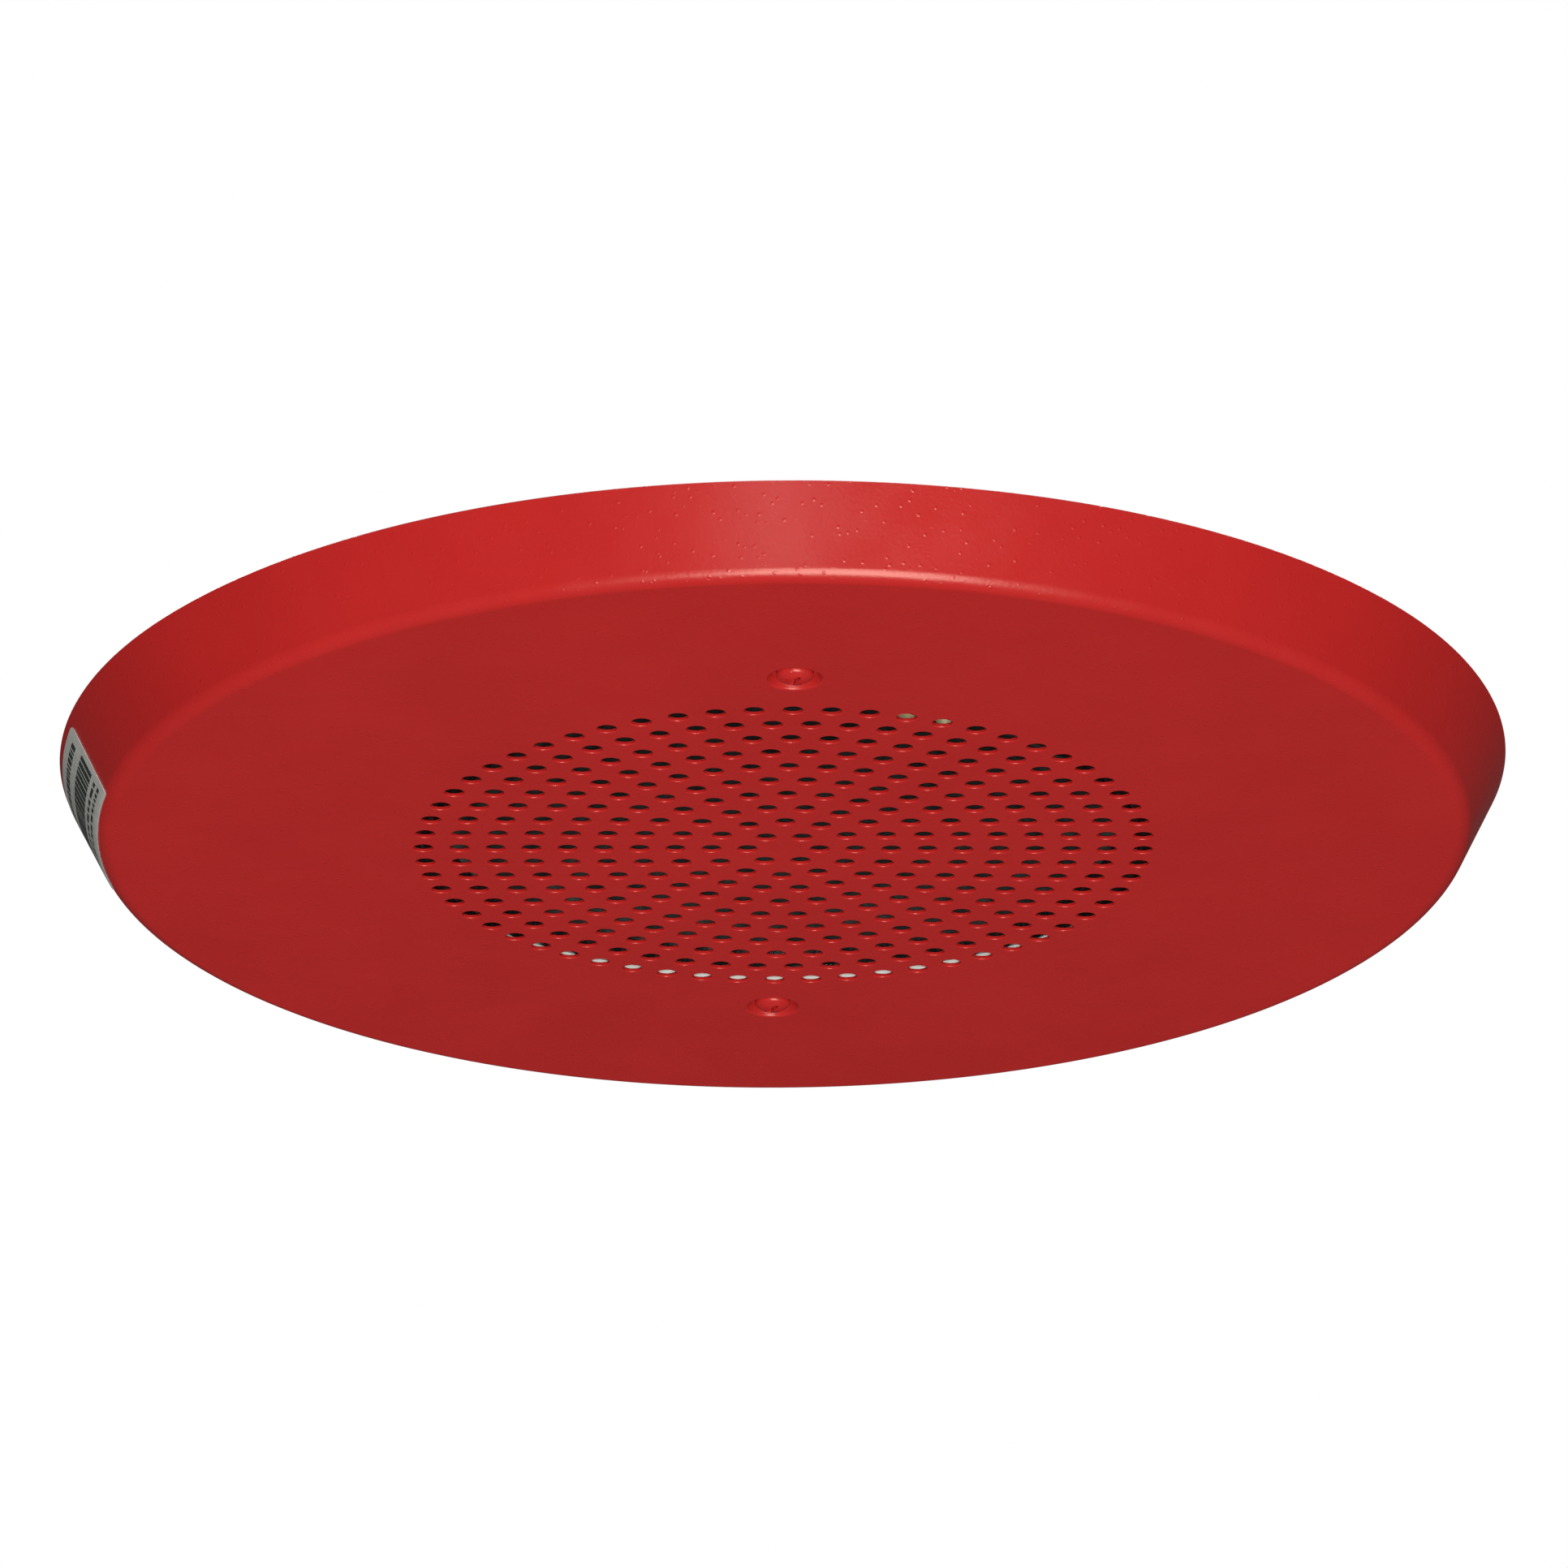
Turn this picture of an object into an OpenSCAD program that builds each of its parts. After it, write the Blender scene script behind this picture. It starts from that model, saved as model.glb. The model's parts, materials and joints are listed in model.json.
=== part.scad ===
// Fire-alarm ceiling loudspeaker: an eight-inch driver with its line transformer behind a round
// pressed-steel baffle. Lengths are in millimetres. +Z points up into the ceiling, and z = 0 is the
// plane where the baffle's rim meets the ceiling, so the perforated face looks down.

/* [Baffle] */
// Outside diameter at the rim
baffle_d = 320; // [310:1:340]
// Depth from the rim to the flat face
baffle_depth = 18.6; // [17:0.2:24]
// Radius of the flat face
face_r = 148; // [144:0.5:150]
// Outside radius of the bend between face and wall
bend_r = 4.4; // [3:0.2:6]
// Thickness of the steel sheet
sheet_t = 0.9; // [0.7:0.1:1.2]

/* [Perforation] */
// Number of concentric rings of holes
ring_count = 10; // [6:1:10]
// Radial distance from one ring to the next
ring_pitch = 7.95; // [7:0.05:8.2]
// Diameter of one hole
hole_d = 4.3; // [3:0.1:5]

/* [Mounting] */
// Diameter of the circle through the screws and studs
bolt_circle = 193.7; // [192:0.1:195]
// Diameter of a screw dimple at the face
dimple_d = 11.9; // [11:0.1:13]
// Depth of a screw dimple
dimple_depth = 2.2; // [1.8:0.1:2.6]
// Thread diameter of the mounting screws
screw_d = 4.16; // [4:0.01:4.2]
// Thread diameter of the studs that hold the driver
stud_d = 3.5; // [3.4:0.1:3.6]
// Length of a mounting screw under its head
screw_len = 25.4; // [22:0.1:38]

/* [Label] */
// Width of the label round the wall, in degrees
label_span = 22; // [12:1:40]
// Share of the wall's height that the label covers
label_cover = 0.88; // [0.6:0.02:0.95]

/* [Driver] */
// Thickness of the front gasket
gasket_t = 3.7; // [3:0.1:4]
// Inner radius of the front gasket
gasket_in_r = 87.3; // [87.2:0.1:88]
// Outside radius of the basket
basket_r = 103.2; // [102.8:0.1:104]
// Radius where the cone meets the surround
cone_r = 74; // [73:0.5:75]
// Depth of the cone from its edge to its neck
cone_depth = 27.7; // [27:0.1:28]
// Outside radius of the voice coil former
coil_r = 12.95; // [12.9:0.05:13]
// Outside radius of the magnet
magnet_r = 35; // [33:0.5:36]
// Thickness of the magnet
magnet_t = 12; // [10:0.5:14]

/* [Line transformer] */
// Distance of the transformer from the driver's axis
core_x = 61; // [60:0.5:62]
// Width of the laminated core
core_w = 36; // [34:1:36]
// Height of the laminated core
core_h = 26; // [24:1:27]
// Thickness of the laminated stack
core_stack = 14; // [12:1:14]

/* [Circuit board] */
// Length of the board
board_l = 60; // [59:1:60]
// Width of the board
board_w = 40; // [40:1:44]
// Number of power taps on the selector
tap_count = 4; // [3:1:5]

/* [Hidden] */
$fn = 96;
cut = 1;

// Baffle: derived heights and the wall's lean from the vertical
rim_r = baffle_d / 2;
face_z = -baffle_depth;
plate_z = face_z + sheet_t;
bend_z = face_z + bend_r;
bend_to_rim = [rim_r - face_r, -bend_z];
wall_lean = atan2(bend_to_rim[0], bend_to_rim[1]) - asin(bend_r / norm(bend_to_rim));
bolt_r = bolt_circle / 2;
stud_angles = [45, 135, 225, 315];
screw_angles = [90, 270];
seat_z = face_z + dimple_depth;
hole_r = 2.3;
grip_r = 1.85;
grip_l = 4.4;
label_wrap = 18;
label_angle = 180;
label_glue = 0.04;

// Front gasket and basket flange
flange_z = plate_z + gasket_t;
flange_t = 1;
flange_back_z = flange_z + flange_t;
flange_in_r = 83;
gasket_out_r = 102.2;
slot_w = 5.6;
slot_l = 8;
nut_r = 4.6;
nut_t = 2.8;
washer_r = 4.9;
washer_t = 0.8;

// Moving parts of the driver
paper_t = 0.7;
cloth_t = 0.4;
cone_edge_z = flange_z + 0.3;
neck_z = cone_edge_z + cone_depth;
cone_slope = cone_depth / (cone_r - coil_r);
cap_r = 17;
cap_rise = 5;
former_t = 0.25;
former_z = neck_z - 2.5;
spider_z = neck_z + 3;
spider_t = 0.5;
spider_r = 44.5;

// Motor: each plate stands on the one before it
shelf_z = spider_z + spider_t;
shelf_r = 45;
cup_r = 36.5;
cup_depth = 9.5;
top_plate_z = shelf_z + cup_depth + flange_t;
top_plate_t = 5;
top_plate_r = 32;
gap_r = 13.9;
pole_r = 12.2;
magnet_z = top_plate_z + top_plate_t;
yoke_z = magnet_z + magnet_t;
yoke_t = 5;
bracket_z = yoke_z + yoke_t;
winding_l = 8;
winding_z = top_plate_z + (top_plate_t - winding_l) / 2;
former_end_z = winding_z + winding_l + 1;
rivet_r = 2;
rivet_circle_r = 24;

// Basket wall, and the windows cut in it
wall_top = [79, flange_z + 6.5];
wall_back = [79.9, flange_z + 7];
window_half = 33;
window_z = [flange_z + 8.5, shelf_z - 2.5];

// Terminal strip on the basket leg that lies between +X and -Y
strip_angle = -45;
strip_lean = atan2(shelf_z + flange_t - wall_back[1], wall_back[0] - shelf_r - 0.5);
strip_r = 62;
strip_z = wall_back[1] + (wall_back[0] - strip_r) * tan(strip_lean);
strip_size = [9, 30, 1.5];
strip_gap = 0.3;
lug_y = 10.5;

// Rear assembly: it is laid out along +X, then turned so that it points along +Y.
// The bracket runs from behind the magnet out to the transformer's far end.
rear_turn = 90;
bracket_x = [-27, 90];
bracket_w = 30;
bracket_t = 1.2;
bracket_lip = 3;
lip_x = -8;
deck_z = bracket_z + bracket_t;
bracket_screw_x = 20;
bracket_screw_r = 2;

// Transformer: the core hangs under the bracket
core_z = bracket_z - core_h;
leg_w = 12;
yoke_w = 6;
window_w = (core_w - leg_w - 2 * yoke_w) / 2;
window_h = core_h - 2 * yoke_w;
bobbin_y = 26;
bobbin_t = 1;
clamp_t = 0.8;
clamp_tab = 8;
clamp_screw_r = 1.5;
clamp_screw_x = [core_x - core_w / 2 - 5, core_x + core_w / 2 + 5];
grommet_y = 10;
grommet_l = 18;
grommet_w = 4.8;
grommet_t = 0.9;

// Circuit board and what stands on it
board_x = -6;
standoff_h = 4;
board_t = 1.6;
board_z = deck_z + standoff_h;
top_z = board_z + board_t;
board_screw_x = [0, 45];
board_screw_y = 10;
standoff_r = 3;
m3_r = 1.5;
block_size = [12, 15.2, 10];
block_pos = [31.6, -8];
pole_pitch = 3.8;
tap_pos = [18, 11];
tap_body = [14, 14, 6.5];
shaft_r = 3.2;
knob_r = 5;
knob_h = 3.4;
tap_turn = 90;
mark_r = 6;
slide_pos = [34, 13];
slide_body = [15, 8, 6];
slider_size = [3.6, 3.2, 3.4];
slide_travel = 3.6;
slide_depth = 1.4;
fit_gap = 0.06;
cap_pos = [11, -9.5];
cap_d = 8;
cap_l = 15;
cap_wire_r = 0.4;

// Wires: routes are chosen by hand and smoothed by the sweep
tap_wire_r = 0.6;
tap_wire_step = 2.8;
tap_pad_step = 3.2;
tap_pad_x = 51;
wire_lane_h = 5;
speaker_wire_r = 0.8;
tinsel_r = 0.6;
dab_r = 3.4;
dab_h = 1;
dab_gap = 0.35;
dab_spots = [[27.4, -25.2], [35.6, -37.1]];

// Height of the cone's front surface at radius r
function cone_front(r) = neck_z - (r - coil_r) * cone_slope;

// Points of an arc in the profile plane
function arc(centre, r, from, to, steps) =
    [for (i = [0:steps]) let (a = from + (to - from) * i / steps) centre + r * [cos(a), sin(a)]];

// A sheet of thickness t behind a line of points, as one closed outline
function thicken(line, t) =
    concat(line, [for (i = [len(line) - 1:-1:0]) line[i] + [0, t]]);

// Catmull-Rom curve through hand-chosen points
function curve_point(a, b, c, d, t) =
    0.5 * ((2 * b) + (c - a) * t + (2 * a - 5 * b + 4 * c - d) * t * t
        + (3 * b - a - 3 * c + d) * t * t * t);
function smooth(p, steps = 4) =
    let (last = len(p) - 1)
    concat([for (i = [0:last - 1], k = [0:steps - 1])
        curve_point(p[max(i - 1, 0)], p[i], p[i + 1], p[min(i + 2, last)], k / steps)], [p[last]]);

// Frames that turn as little as they can along a path
function unit(v) = v / norm(v);
function heading(p, i) = unit(p[min(i + 1, len(p) - 1)] - p[max(i - 1, 0)]);
function sideways(p, i) =
    i == 0 ? unit(cross(heading(p, 0), [0.31, 0.95, 0.05]))
    : let (s = sideways(p, i - 1), t = heading(p, i)) unit(s - (s * t) * t);

// Tube of radius r along a path
module tube(path, r, sides = 8) {
    rings = len(path);
    points = [for (i = [0:rings - 1])
        let (s = sideways(path, i), n = cross(heading(path, i), s))
        for (k = [0:sides - 1]) path[i] + r * (cos(360 * k / sides) * s + sin(360 * k / sides) * n)];
    skin = [for (i = [0:rings - 2], k = [0:sides - 1])
        let (a = i * sides + k, b = i * sides + (k + 1) % sides)
        each [[a, a + sides, b], [b, a + sides, b + sides]]];
    start = [for (k = [0:sides - 1]) k];
    end = [for (k = [sides - 1:-1:0]) (rings - 1) * sides + k];
    polyhedron(points = points, faces = concat(skin, [start, end]));
}

// Ring between two radii, from height z to z + h
module ring(r_out, r_in, z, h) {
    translate([0, 0, z]) difference() {
        cylinder(r = r_out, h = h);
        translate([0, 0, -cut]) cylinder(r = r_in, h = h + 2 * cut);
    }
}

// Children of the rear assembly, turned to where it points
module rear() {
    rotate([0, 0, rear_turn]) children();
}

// Children copied onto the bolt circle at the given angles
module around(angles, r = bolt_r) {
    for (a = angles) rotate([0, 0, a]) translate([r, 0, 0]) children();
}

// Slot with round ends, l long over all along x
module slot(l, w, h) {
    linear_extrude(height = h) {
        square([l - w, w], center = true);
        for (side = [-1, 1]) translate([side * (l - w) / 2, 0]) circle(d = w);
    }
}

// Block centred on x and y, standing on z = 0
module block(size) {
    translate([-size[0] / 2, -size[1] / 2, 0]) cube(size);
}

// Cross recess that opens downwards at z = 0
module cross_recess(l, w, depth) {
    for (turn = [0, 90]) rotate([0, 0, turn]) translate([0, 0, -cut]) block([l, w, depth + cut]);
}

// Pan-head screw: head below z = 0, shank upwards
module pan_screw(head_r, head_h, shank_r, shank_l) {
    edge_h = head_h * 0.45;
    difference() {
        union() {
            rotate_extrude() polygon([[0, 0], [head_r, 0], [head_r, -edge_h],
                [head_r * 0.88, -head_h * 0.78], [head_r * 0.55, -head_h * 0.96], [0, -head_h]]);
            cylinder(r = shank_r, h = shank_l);
        }
        translate([0, 0, -head_h]) cross_recess(head_r * 1.15, head_r * 0.26, head_h * 0.6);
    }
}

// Same screw with its head upwards, for what is fastened from the back
module rear_screw(head_r, head_h, shank_r, shank_l) {
    mirror([0, 0, 1]) pan_screw(head_r, head_h, shank_r, shank_l);
}

// ---- Baffle and its fixings ----

module dish() {
    bend = [face_r, bend_z];
    rotate_extrude($fn = 180) polygon(concat(
        [[0, face_z]], arc(bend, bend_r, -90, -wall_lean, 8), [[rim_r, 0]],
        [[rim_r - sheet_t / cos(wall_lean), 0]],
        arc(bend, bend_r - sheet_t, -wall_lean, -90, 8), [[0, plate_z]]));
}

module dimple_cup() {
    mouth = dimple_d / 2;
    edge = mouth + 1.2;
    floor_r = mouth - 1.2;
    rotate_extrude() polygon([[edge, face_z], [mouth, face_z], [floor_r, seat_z], [hole_r, seat_z],
        [hole_r, seat_z + sheet_t], [floor_r + 0.3, seat_z + sheet_t], [mouth + 0.5, plate_z],
        [edge, plate_z]]);
}

module perforations() {
    for (ring_no = [1:ring_count], k = [0:6 * ring_no - 1])
        rotate([0, 0, 60 * k / ring_no]) translate([ring_no * ring_pitch, 0, face_z - cut])
            cylinder(d = hole_d, h = sheet_t + 2 * cut, $fn = 24);
}

module baffle() {
    color("firebrick") {
        difference() {
            dish();
            perforations();
            around(screw_angles) translate([0, 0, face_z - cut])
                cylinder(r = dimple_d / 2 + 1.2, h = sheet_t + 2 * cut);
        }
        around(screw_angles) dimple_cup();
    }
}

module weld_studs() {
    color("silver") around(stud_angles) translate([0, 0, plate_z]) {
        cylinder(r = 3, h = 0.6);
        cylinder(d = stud_d, h = 12);
    }
}

// The film stands off the sheet by the thickness of its adhesive
module rating_label() {
    paper = 0.15;
    slope = [sin(wall_lean), cos(wall_lean)];
    out = [cos(wall_lean), -sin(wall_lean)];
    bend = [face_r, bend_z];
    foot = bend + bend_r * out;
    high = foot + slope * norm([rim_r, 0] - foot) * label_cover;
    wrap = [-wall_lean - label_wrap, -wall_lean];
    inner_r = bend_r + label_glue;
    color("gainsboro") rotate([0, 0, label_angle - label_span / 2]) rotate_extrude(angle = label_span)
        polygon(concat(arc(bend, inner_r, wrap[0], wrap[1], 4),
            [high + out * label_glue, high + out * (label_glue + paper)],
            arc(bend, inner_r + paper, wrap[1], wrap[0], 4)));
}

module mounting_screws() {
    color("firebrick") around(screw_angles) translate([0, 0, seat_z]) {
        pan_screw(4.1, 2.7, grip_r, grip_l);
        translate([0, 0, grip_l]) cylinder(d = screw_d, h = screw_len - grip_l);
    }
}

module stud_washers() {
    color("lightgray") around(stud_angles) ring(washer_r, stud_d / 2 + 0.2, flange_back_z, washer_t);
}

module stud_nuts() {
    color("silver") around(stud_angles) translate([0, 0, flange_back_z + washer_t]) difference() {
        cylinder(r = nut_r, h = nut_t, $fn = 6);
        translate([0, 0, -cut]) cylinder(d = stud_d, h = nut_t + 2 * cut);
    }
}

// ---- Driver: fixed parts ----

module front_gasket() {
    color("linen") difference() {
        ring(gasket_out_r, gasket_in_r, plate_z, gasket_t);
        around(screw_angles) translate([0, 0, plate_z - cut])
            cylinder(r = dimple_d / 2 + 1.4, h = gasket_t + 2 * cut);
        around(stud_angles) translate([0, 0, plate_z - cut]) cylinder(r = 3.4, h = gasket_t + 2 * cut);
    }
}

module basket_shell() {
    bottom_z = shelf_z + cup_depth;
    rim_lip = 3.5;
    rotate_extrude() polygon([
        [basket_r, flange_z], [flange_in_r, flange_z], wall_top, [shelf_r, shelf_z],
        [cup_r, shelf_z], [cup_r - 1, bottom_z], [gap_r + 1, bottom_z], [gap_r + 1, top_plate_z],
        [cup_r - 0.2, top_plate_z], [cup_r + 0.9, shelf_z + flange_t],
        [shelf_r + 0.5, shelf_z + flange_t], wall_back, [flange_in_r + 0.9, flange_back_z],
        [basket_r - 0.8, flange_back_z], [basket_r - 0.8, flange_z + rim_lip],
        [basket_r, flange_z + rim_lip]]);
}

// Wedge that cuts one window, pointing along +X
module window_wedge() {
    reach = 95;
    translate([0, 0, window_z[0]]) linear_extrude(height = window_z[1] - window_z[0])
        polygon([[18, 0], reach * [cos(window_half), -sin(window_half)], [reach * 1.3, 0],
            reach * [cos(window_half), sin(window_half)]]);
}

module on_strip_leg() {
    rotate([0, 0, strip_angle]) translate([strip_r, 0, strip_z]) rotate([0, strip_lean, 0]) children();
}

module basket() {
    color("slategray") difference() {
        basket_shell();
        for (turn = [0, 90, 180, 270]) rotate([0, 0, turn]) window_wedge();
        for (k = [0:7]) rotate([0, 0, 45 * k]) translate([bolt_r, 0, flange_z - cut])
            slot(slot_l, slot_w, flange_t + 2 * cut);
        around(stud_angles, rivet_circle_r) translate([0, 0, top_plate_z - 2 * cut])
            cylinder(r = rivet_r, h = 3 * cut);
        on_strip_leg() translate([0, 0, -3]) cylinder(r = 1.6, h = 4);
    }
}

module basket_rivets() {
    head_z = top_plate_z - flange_t;
    color("silver") around(stud_angles, rivet_circle_r) {
        translate([0, 0, head_z]) cylinder(r = rivet_r, h = flange_t + top_plate_t);
        translate([0, 0, head_z - 1.2]) cylinder(r1 = 2.6, r2 = 3.6, h = 1.2);
    }
}

module top_plate() {
    color("lightsteelblue") difference() {
        ring(top_plate_r, gap_r, top_plate_z, top_plate_t);
        around(stud_angles, rivet_circle_r) translate([0, 0, top_plate_z - cut])
            cylinder(r = rivet_r, h = top_plate_t + 2 * cut);
    }
}

module magnet() {
    color("dimgray") ring(magnet_r, 16, magnet_z, magnet_t);
}

module yoke() {
    color("lightsteelblue") difference() {
        union() {
            translate([0, 0, yoke_z]) cylinder(r = top_plate_r, h = yoke_t);
            translate([0, 0, top_plate_z]) cylinder(r = pole_r, h = yoke_z - top_plate_z);
        }
        rear() for (side = [-1, 1]) translate([side * bracket_screw_x, 0, yoke_z + 1])
            cylinder(r = bracket_screw_r, h = yoke_t);
    }
}

// ---- Driver: moving parts ----

module surround() {
    waves = 3;
    rise = 1.1;
    width = flange_in_r - cone_r;
    steps = waves * 8;
    pleats = [for (i = [0:steps]) let (u = i / steps)
        [flange_in_r - width * u, flange_z - cloth_t - rise * sin(360 * waves * u)
            + (cone_edge_z - flange_z + cloth_t) * u]];
    color("black") rotate_extrude()
        polygon(thicken(concat([[gasket_in_r - 0.1, flange_z - cloth_t]], pleats), cloth_t));
}

module cone() {
    color("darkslategray") rotate_extrude()
        polygon(thicken([[cone_r, cone_edge_z], [coil_r, neck_z]], paper_t));
}

module dust_cap() {
    inner_r = cap_r - 0.8;
    dome_r = (cap_r * cap_r + cap_rise * cap_rise) / (2 * cap_rise);
    dome_z = cone_front(cap_r) - cap_rise + dome_r;
    skin_r = dome_r - 0.5;
    half = asin(cap_r / dome_r);
    color("black") rotate_extrude() polygon(concat(
        arc([0, dome_z], dome_r, -90, -90 + half, 10), [[inner_r, cone_front(inner_r)]],
        arc([0, dome_z], skin_r, -90 + asin(inner_r / skin_r), -90, 10)));
}

module voice_coil_former() {
    color("tan") ring(coil_r, coil_r - former_t, former_z, former_end_z - former_z);
}

module voice_coil_winding() {
    color("sienna") ring(coil_r + 0.45, coil_r, winding_z, winding_l);
}

module spider() {
    waves = 4;
    rise = 1.3;
    inner_r = coil_r + 3;
    outer_r = cup_r - 0.5;
    steps = waves * 8;
    pleats = [for (i = [0:steps]) let (u = i / steps)
        [outer_r + (inner_r - outer_r) * u, spider_z + rise * sin(360 * waves * u)]];
    color("goldenrod") rotate_extrude()
        polygon(thicken(concat([[spider_r, spider_z]], pleats, [[coil_r, spider_z]]), spider_t));
}

// A dab lies on the front of the cone, where a lead comes through it
module lead_glue_dabs() {
    color("burlywood") for (spot = dab_spots) {
        r = norm(spot);
        rotate([0, 0, atan2(spot[1], spot[0])]) translate([r, 0, cone_front(r)])
            rotate([0, atan(cone_slope), 0]) translate([0, 0, -dab_h - dab_gap])
                cylinder(r1 = dab_r * 0.7, r2 = dab_r, h = dab_h);
    }
}

// ---- Terminals on the basket ----

module terminal_strip() {
    color("saddlebrown") on_strip_leg() translate([0, 0, strip_gap]) difference() {
        block(strip_size);
        translate([0, 0, -cut]) cylinder(r = 1.6, h = strip_size[2] + 2 * cut);
        for (side = [-1, 1]) translate([0, side * lug_y, -cut])
            cylinder(r = 1.2, h = strip_size[2] + 2 * cut);
    }
}

module terminal_lugs() {
    lug = [12, 5, 0.5];
    color("gold") on_strip_leg() for (side = [-1, 1])
        translate([0, side * lug_y, strip_gap + strip_size[2]]) {
            block(lug);
            translate([0, 0, -strip_size[2]]) cylinder(r = 1.2, h = strip_size[2]);
            translate([0, 0, lug[2]]) cylinder(r1 = 2.1, r2 = 1.5, h = 0.7);
        }
}

module strip_rivet() {
    color("silver") on_strip_leg() {
        translate([0, 0, -1.4]) cylinder(r = 1.6, h = 1.4 + strip_gap + strip_size[2]);
        translate([0, 0, strip_gap + strip_size[2]]) cylinder(r1 = 3, r2 = 2.2, h = 1);
    }
}

// Each braid runs from its lug, round the leg through a window, to the back of the cone
tinsel_routes = [
    [[54.7, -34.9, 8.2], [56.4, -32.5, 9], [55, -29.5, 8], [51.5, -27, 5.2], [46.5, -28.5, 2.5],
        [41.5, -33, 1.2], [36.8, -36.8, 0.8], [35.6, -37.1, -2.3]],
    [[34.9, -54.7, 8.2], [32.5, -56.4, 9], [29.5, -55, 8], [27, -51.5, 5.2], [26.8, -44, 3.7],
        [27.2, -36, 4.7], [27.5, -27.6, 7.2], [27.4, -25.2, 4.2]]];

module tinsel_leads() {
    color("peru") for (route = tinsel_routes) tube(smooth(route), tinsel_r);
}

// ---- Rear bracket ----

module rear_bracket() {
    length = bracket_x[1] - bracket_x[0];
    color("gainsboro") difference() {
        union() {
            translate([bracket_x[0], -bracket_w / 2, bracket_z]) cube([length, bracket_w, bracket_t]);
            for (y = [-bracket_w / 2, bracket_w / 2 - bracket_t]) translate([lip_x, y, bracket_z])
                cube([bracket_x[1] - lip_x, bracket_t, bracket_t + bracket_lip]);
        }
        for (side = [-1, 1]) translate([side * bracket_screw_x, 0, bracket_z - cut])
            cylinder(r = bracket_screw_r, h = bracket_t + 2 * cut);
        for (x = clamp_screw_x) translate([x, 0, bracket_z - cut])
            cylinder(r = clamp_screw_r, h = bracket_t + 2 * cut);
        translate([core_x, grommet_y, bracket_z - cut]) slot(grommet_l, grommet_w, bracket_t + 2 * cut);
    }
}

module bracket_screws() {
    color("silver") for (side = [-1, 1]) translate([side * bracket_screw_x, 0, deck_z])
        rear_screw(3.8, 2.4, bracket_screw_r, bracket_t + yoke_t - 1);
}

module bracket_grommet() {
    bead = 0.9;
    color("black") translate([core_x, grommet_y, 0]) difference() {
        union() {
            translate([0, 0, bracket_z]) slot(grommet_l, grommet_w, bracket_t);
            translate([0, 0, deck_z]) slot(grommet_l + 2 * bead, grommet_w + 2 * bead, bead);
        }
        translate([0, 0, bracket_z - cut])
            slot(grommet_l - 2 * grommet_t, grommet_w - 2 * grommet_t, bracket_t + bead + 2 * cut);
    }
}

// ---- Transformer ----

module transformer_core() {
    color("dimgray") translate([core_x, 0, core_z]) difference() {
        block([core_w, core_stack, core_h]);
        for (side = [-1, 1]) translate([side * (leg_w + window_w) / 2, 0, yoke_w])
            block([window_w, core_stack + 2 * cut, window_h]);
    }
}

// Rectangular tube round the core's middle leg
module leg_sleeve(outer, inner, z, h) {
    translate([core_x, 0, z]) difference() {
        block([outer[0], outer[1], h]);
        translate([0, 0, -cut]) block([inner[0], inner[1], h + 2 * cut]);
    }
}

module transformer_bobbin() {
    leg = [leg_w, core_stack];
    tube_size = leg + 2 * [bobbin_t, bobbin_t];
    flange = [leg_w + 2 * window_w, bobbin_y];
    low = core_z + yoke_w;
    color("ivory") {
        leg_sleeve(tube_size, leg, low, window_h);
        leg_sleeve(flange, leg, low, bobbin_t);
        leg_sleeve(flange, leg, low + window_h - bobbin_t, bobbin_t);
    }
}

module transformer_winding() {
    sleeve = [leg_w, core_stack] + 2 * [bobbin_t, bobbin_t];
    wound = [leg_w + 2 * window_w - 0.6, bobbin_y - 1];
    color("khaki") leg_sleeve(wound, sleeve, core_z + yoke_w + bobbin_t, window_h - 2 * bobbin_t);
}

module transformer_clamp() {
    outer_w = core_w + 2 * clamp_t;
    color("silver") translate([core_x, 0, core_z]) difference() {
        union() {
            translate([0, 0, -clamp_t]) block([outer_w, core_stack, core_h + clamp_t]);
            translate([0, 0, core_h - clamp_t]) block([outer_w + 2 * clamp_tab, core_stack, clamp_t]);
        }
        block([core_w, core_stack + 2 * cut, core_h + cut]);
        for (x = clamp_screw_x) translate([x - core_x, 0, core_h - 2 * clamp_t])
            cylinder(r = clamp_screw_r, h = 3 * clamp_t);
    }
}

module transformer_screws() {
    color("silver") for (x = clamp_screw_x) translate([x, 0, deck_z])
        rear_screw(2.8, 2, clamp_screw_r, 5.5);
}

module transformer_nuts() {
    color("silver") for (x = clamp_screw_x) translate([x, 0, bracket_z - clamp_t - 2.4]) difference() {
        cylinder(r = 3.1, h = 2.4, $fn = 6);
        translate([0, 0, -cut]) cylinder(r = clamp_screw_r, h = 2.4 + 2 * cut);
    }
}

// Five leads rise from the bobbin through the grommet, then turn side by side round the corner of
// the board to its pads, the nearest lead on the inside of the bend.
module tap_wires() {
    start_z = core_z + core_h - yoke_w;
    lane_z = top_z + wire_lane_h;
    color("orangered") for (k = [-2:2]) {
        start_x = core_x + k * tap_wire_step;
        pad_y = -k * tap_pad_step;
        reach = [start_x - tap_pad_x, grommet_y - pad_y];
        tube(smooth(concat(
            [[start_x, grommet_y, start_z], [start_x, grommet_y, bracket_z + 1],
                [start_x, grommet_y, top_z + 1.5]],
            [for (a = [15, 40, 65]) [tap_pad_x + reach[0] * cos(a), grommet_y - reach[1] * sin(a),
                lane_z - (a == 15 ? 1 : 0)]],
            [[tap_pad_x, pad_y, top_z + wire_lane_h * 0.6], [tap_pad_x - 0.4, pad_y, top_z]]), 3),
            tap_wire_r);
    }
}

// ---- Circuit board ----

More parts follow.
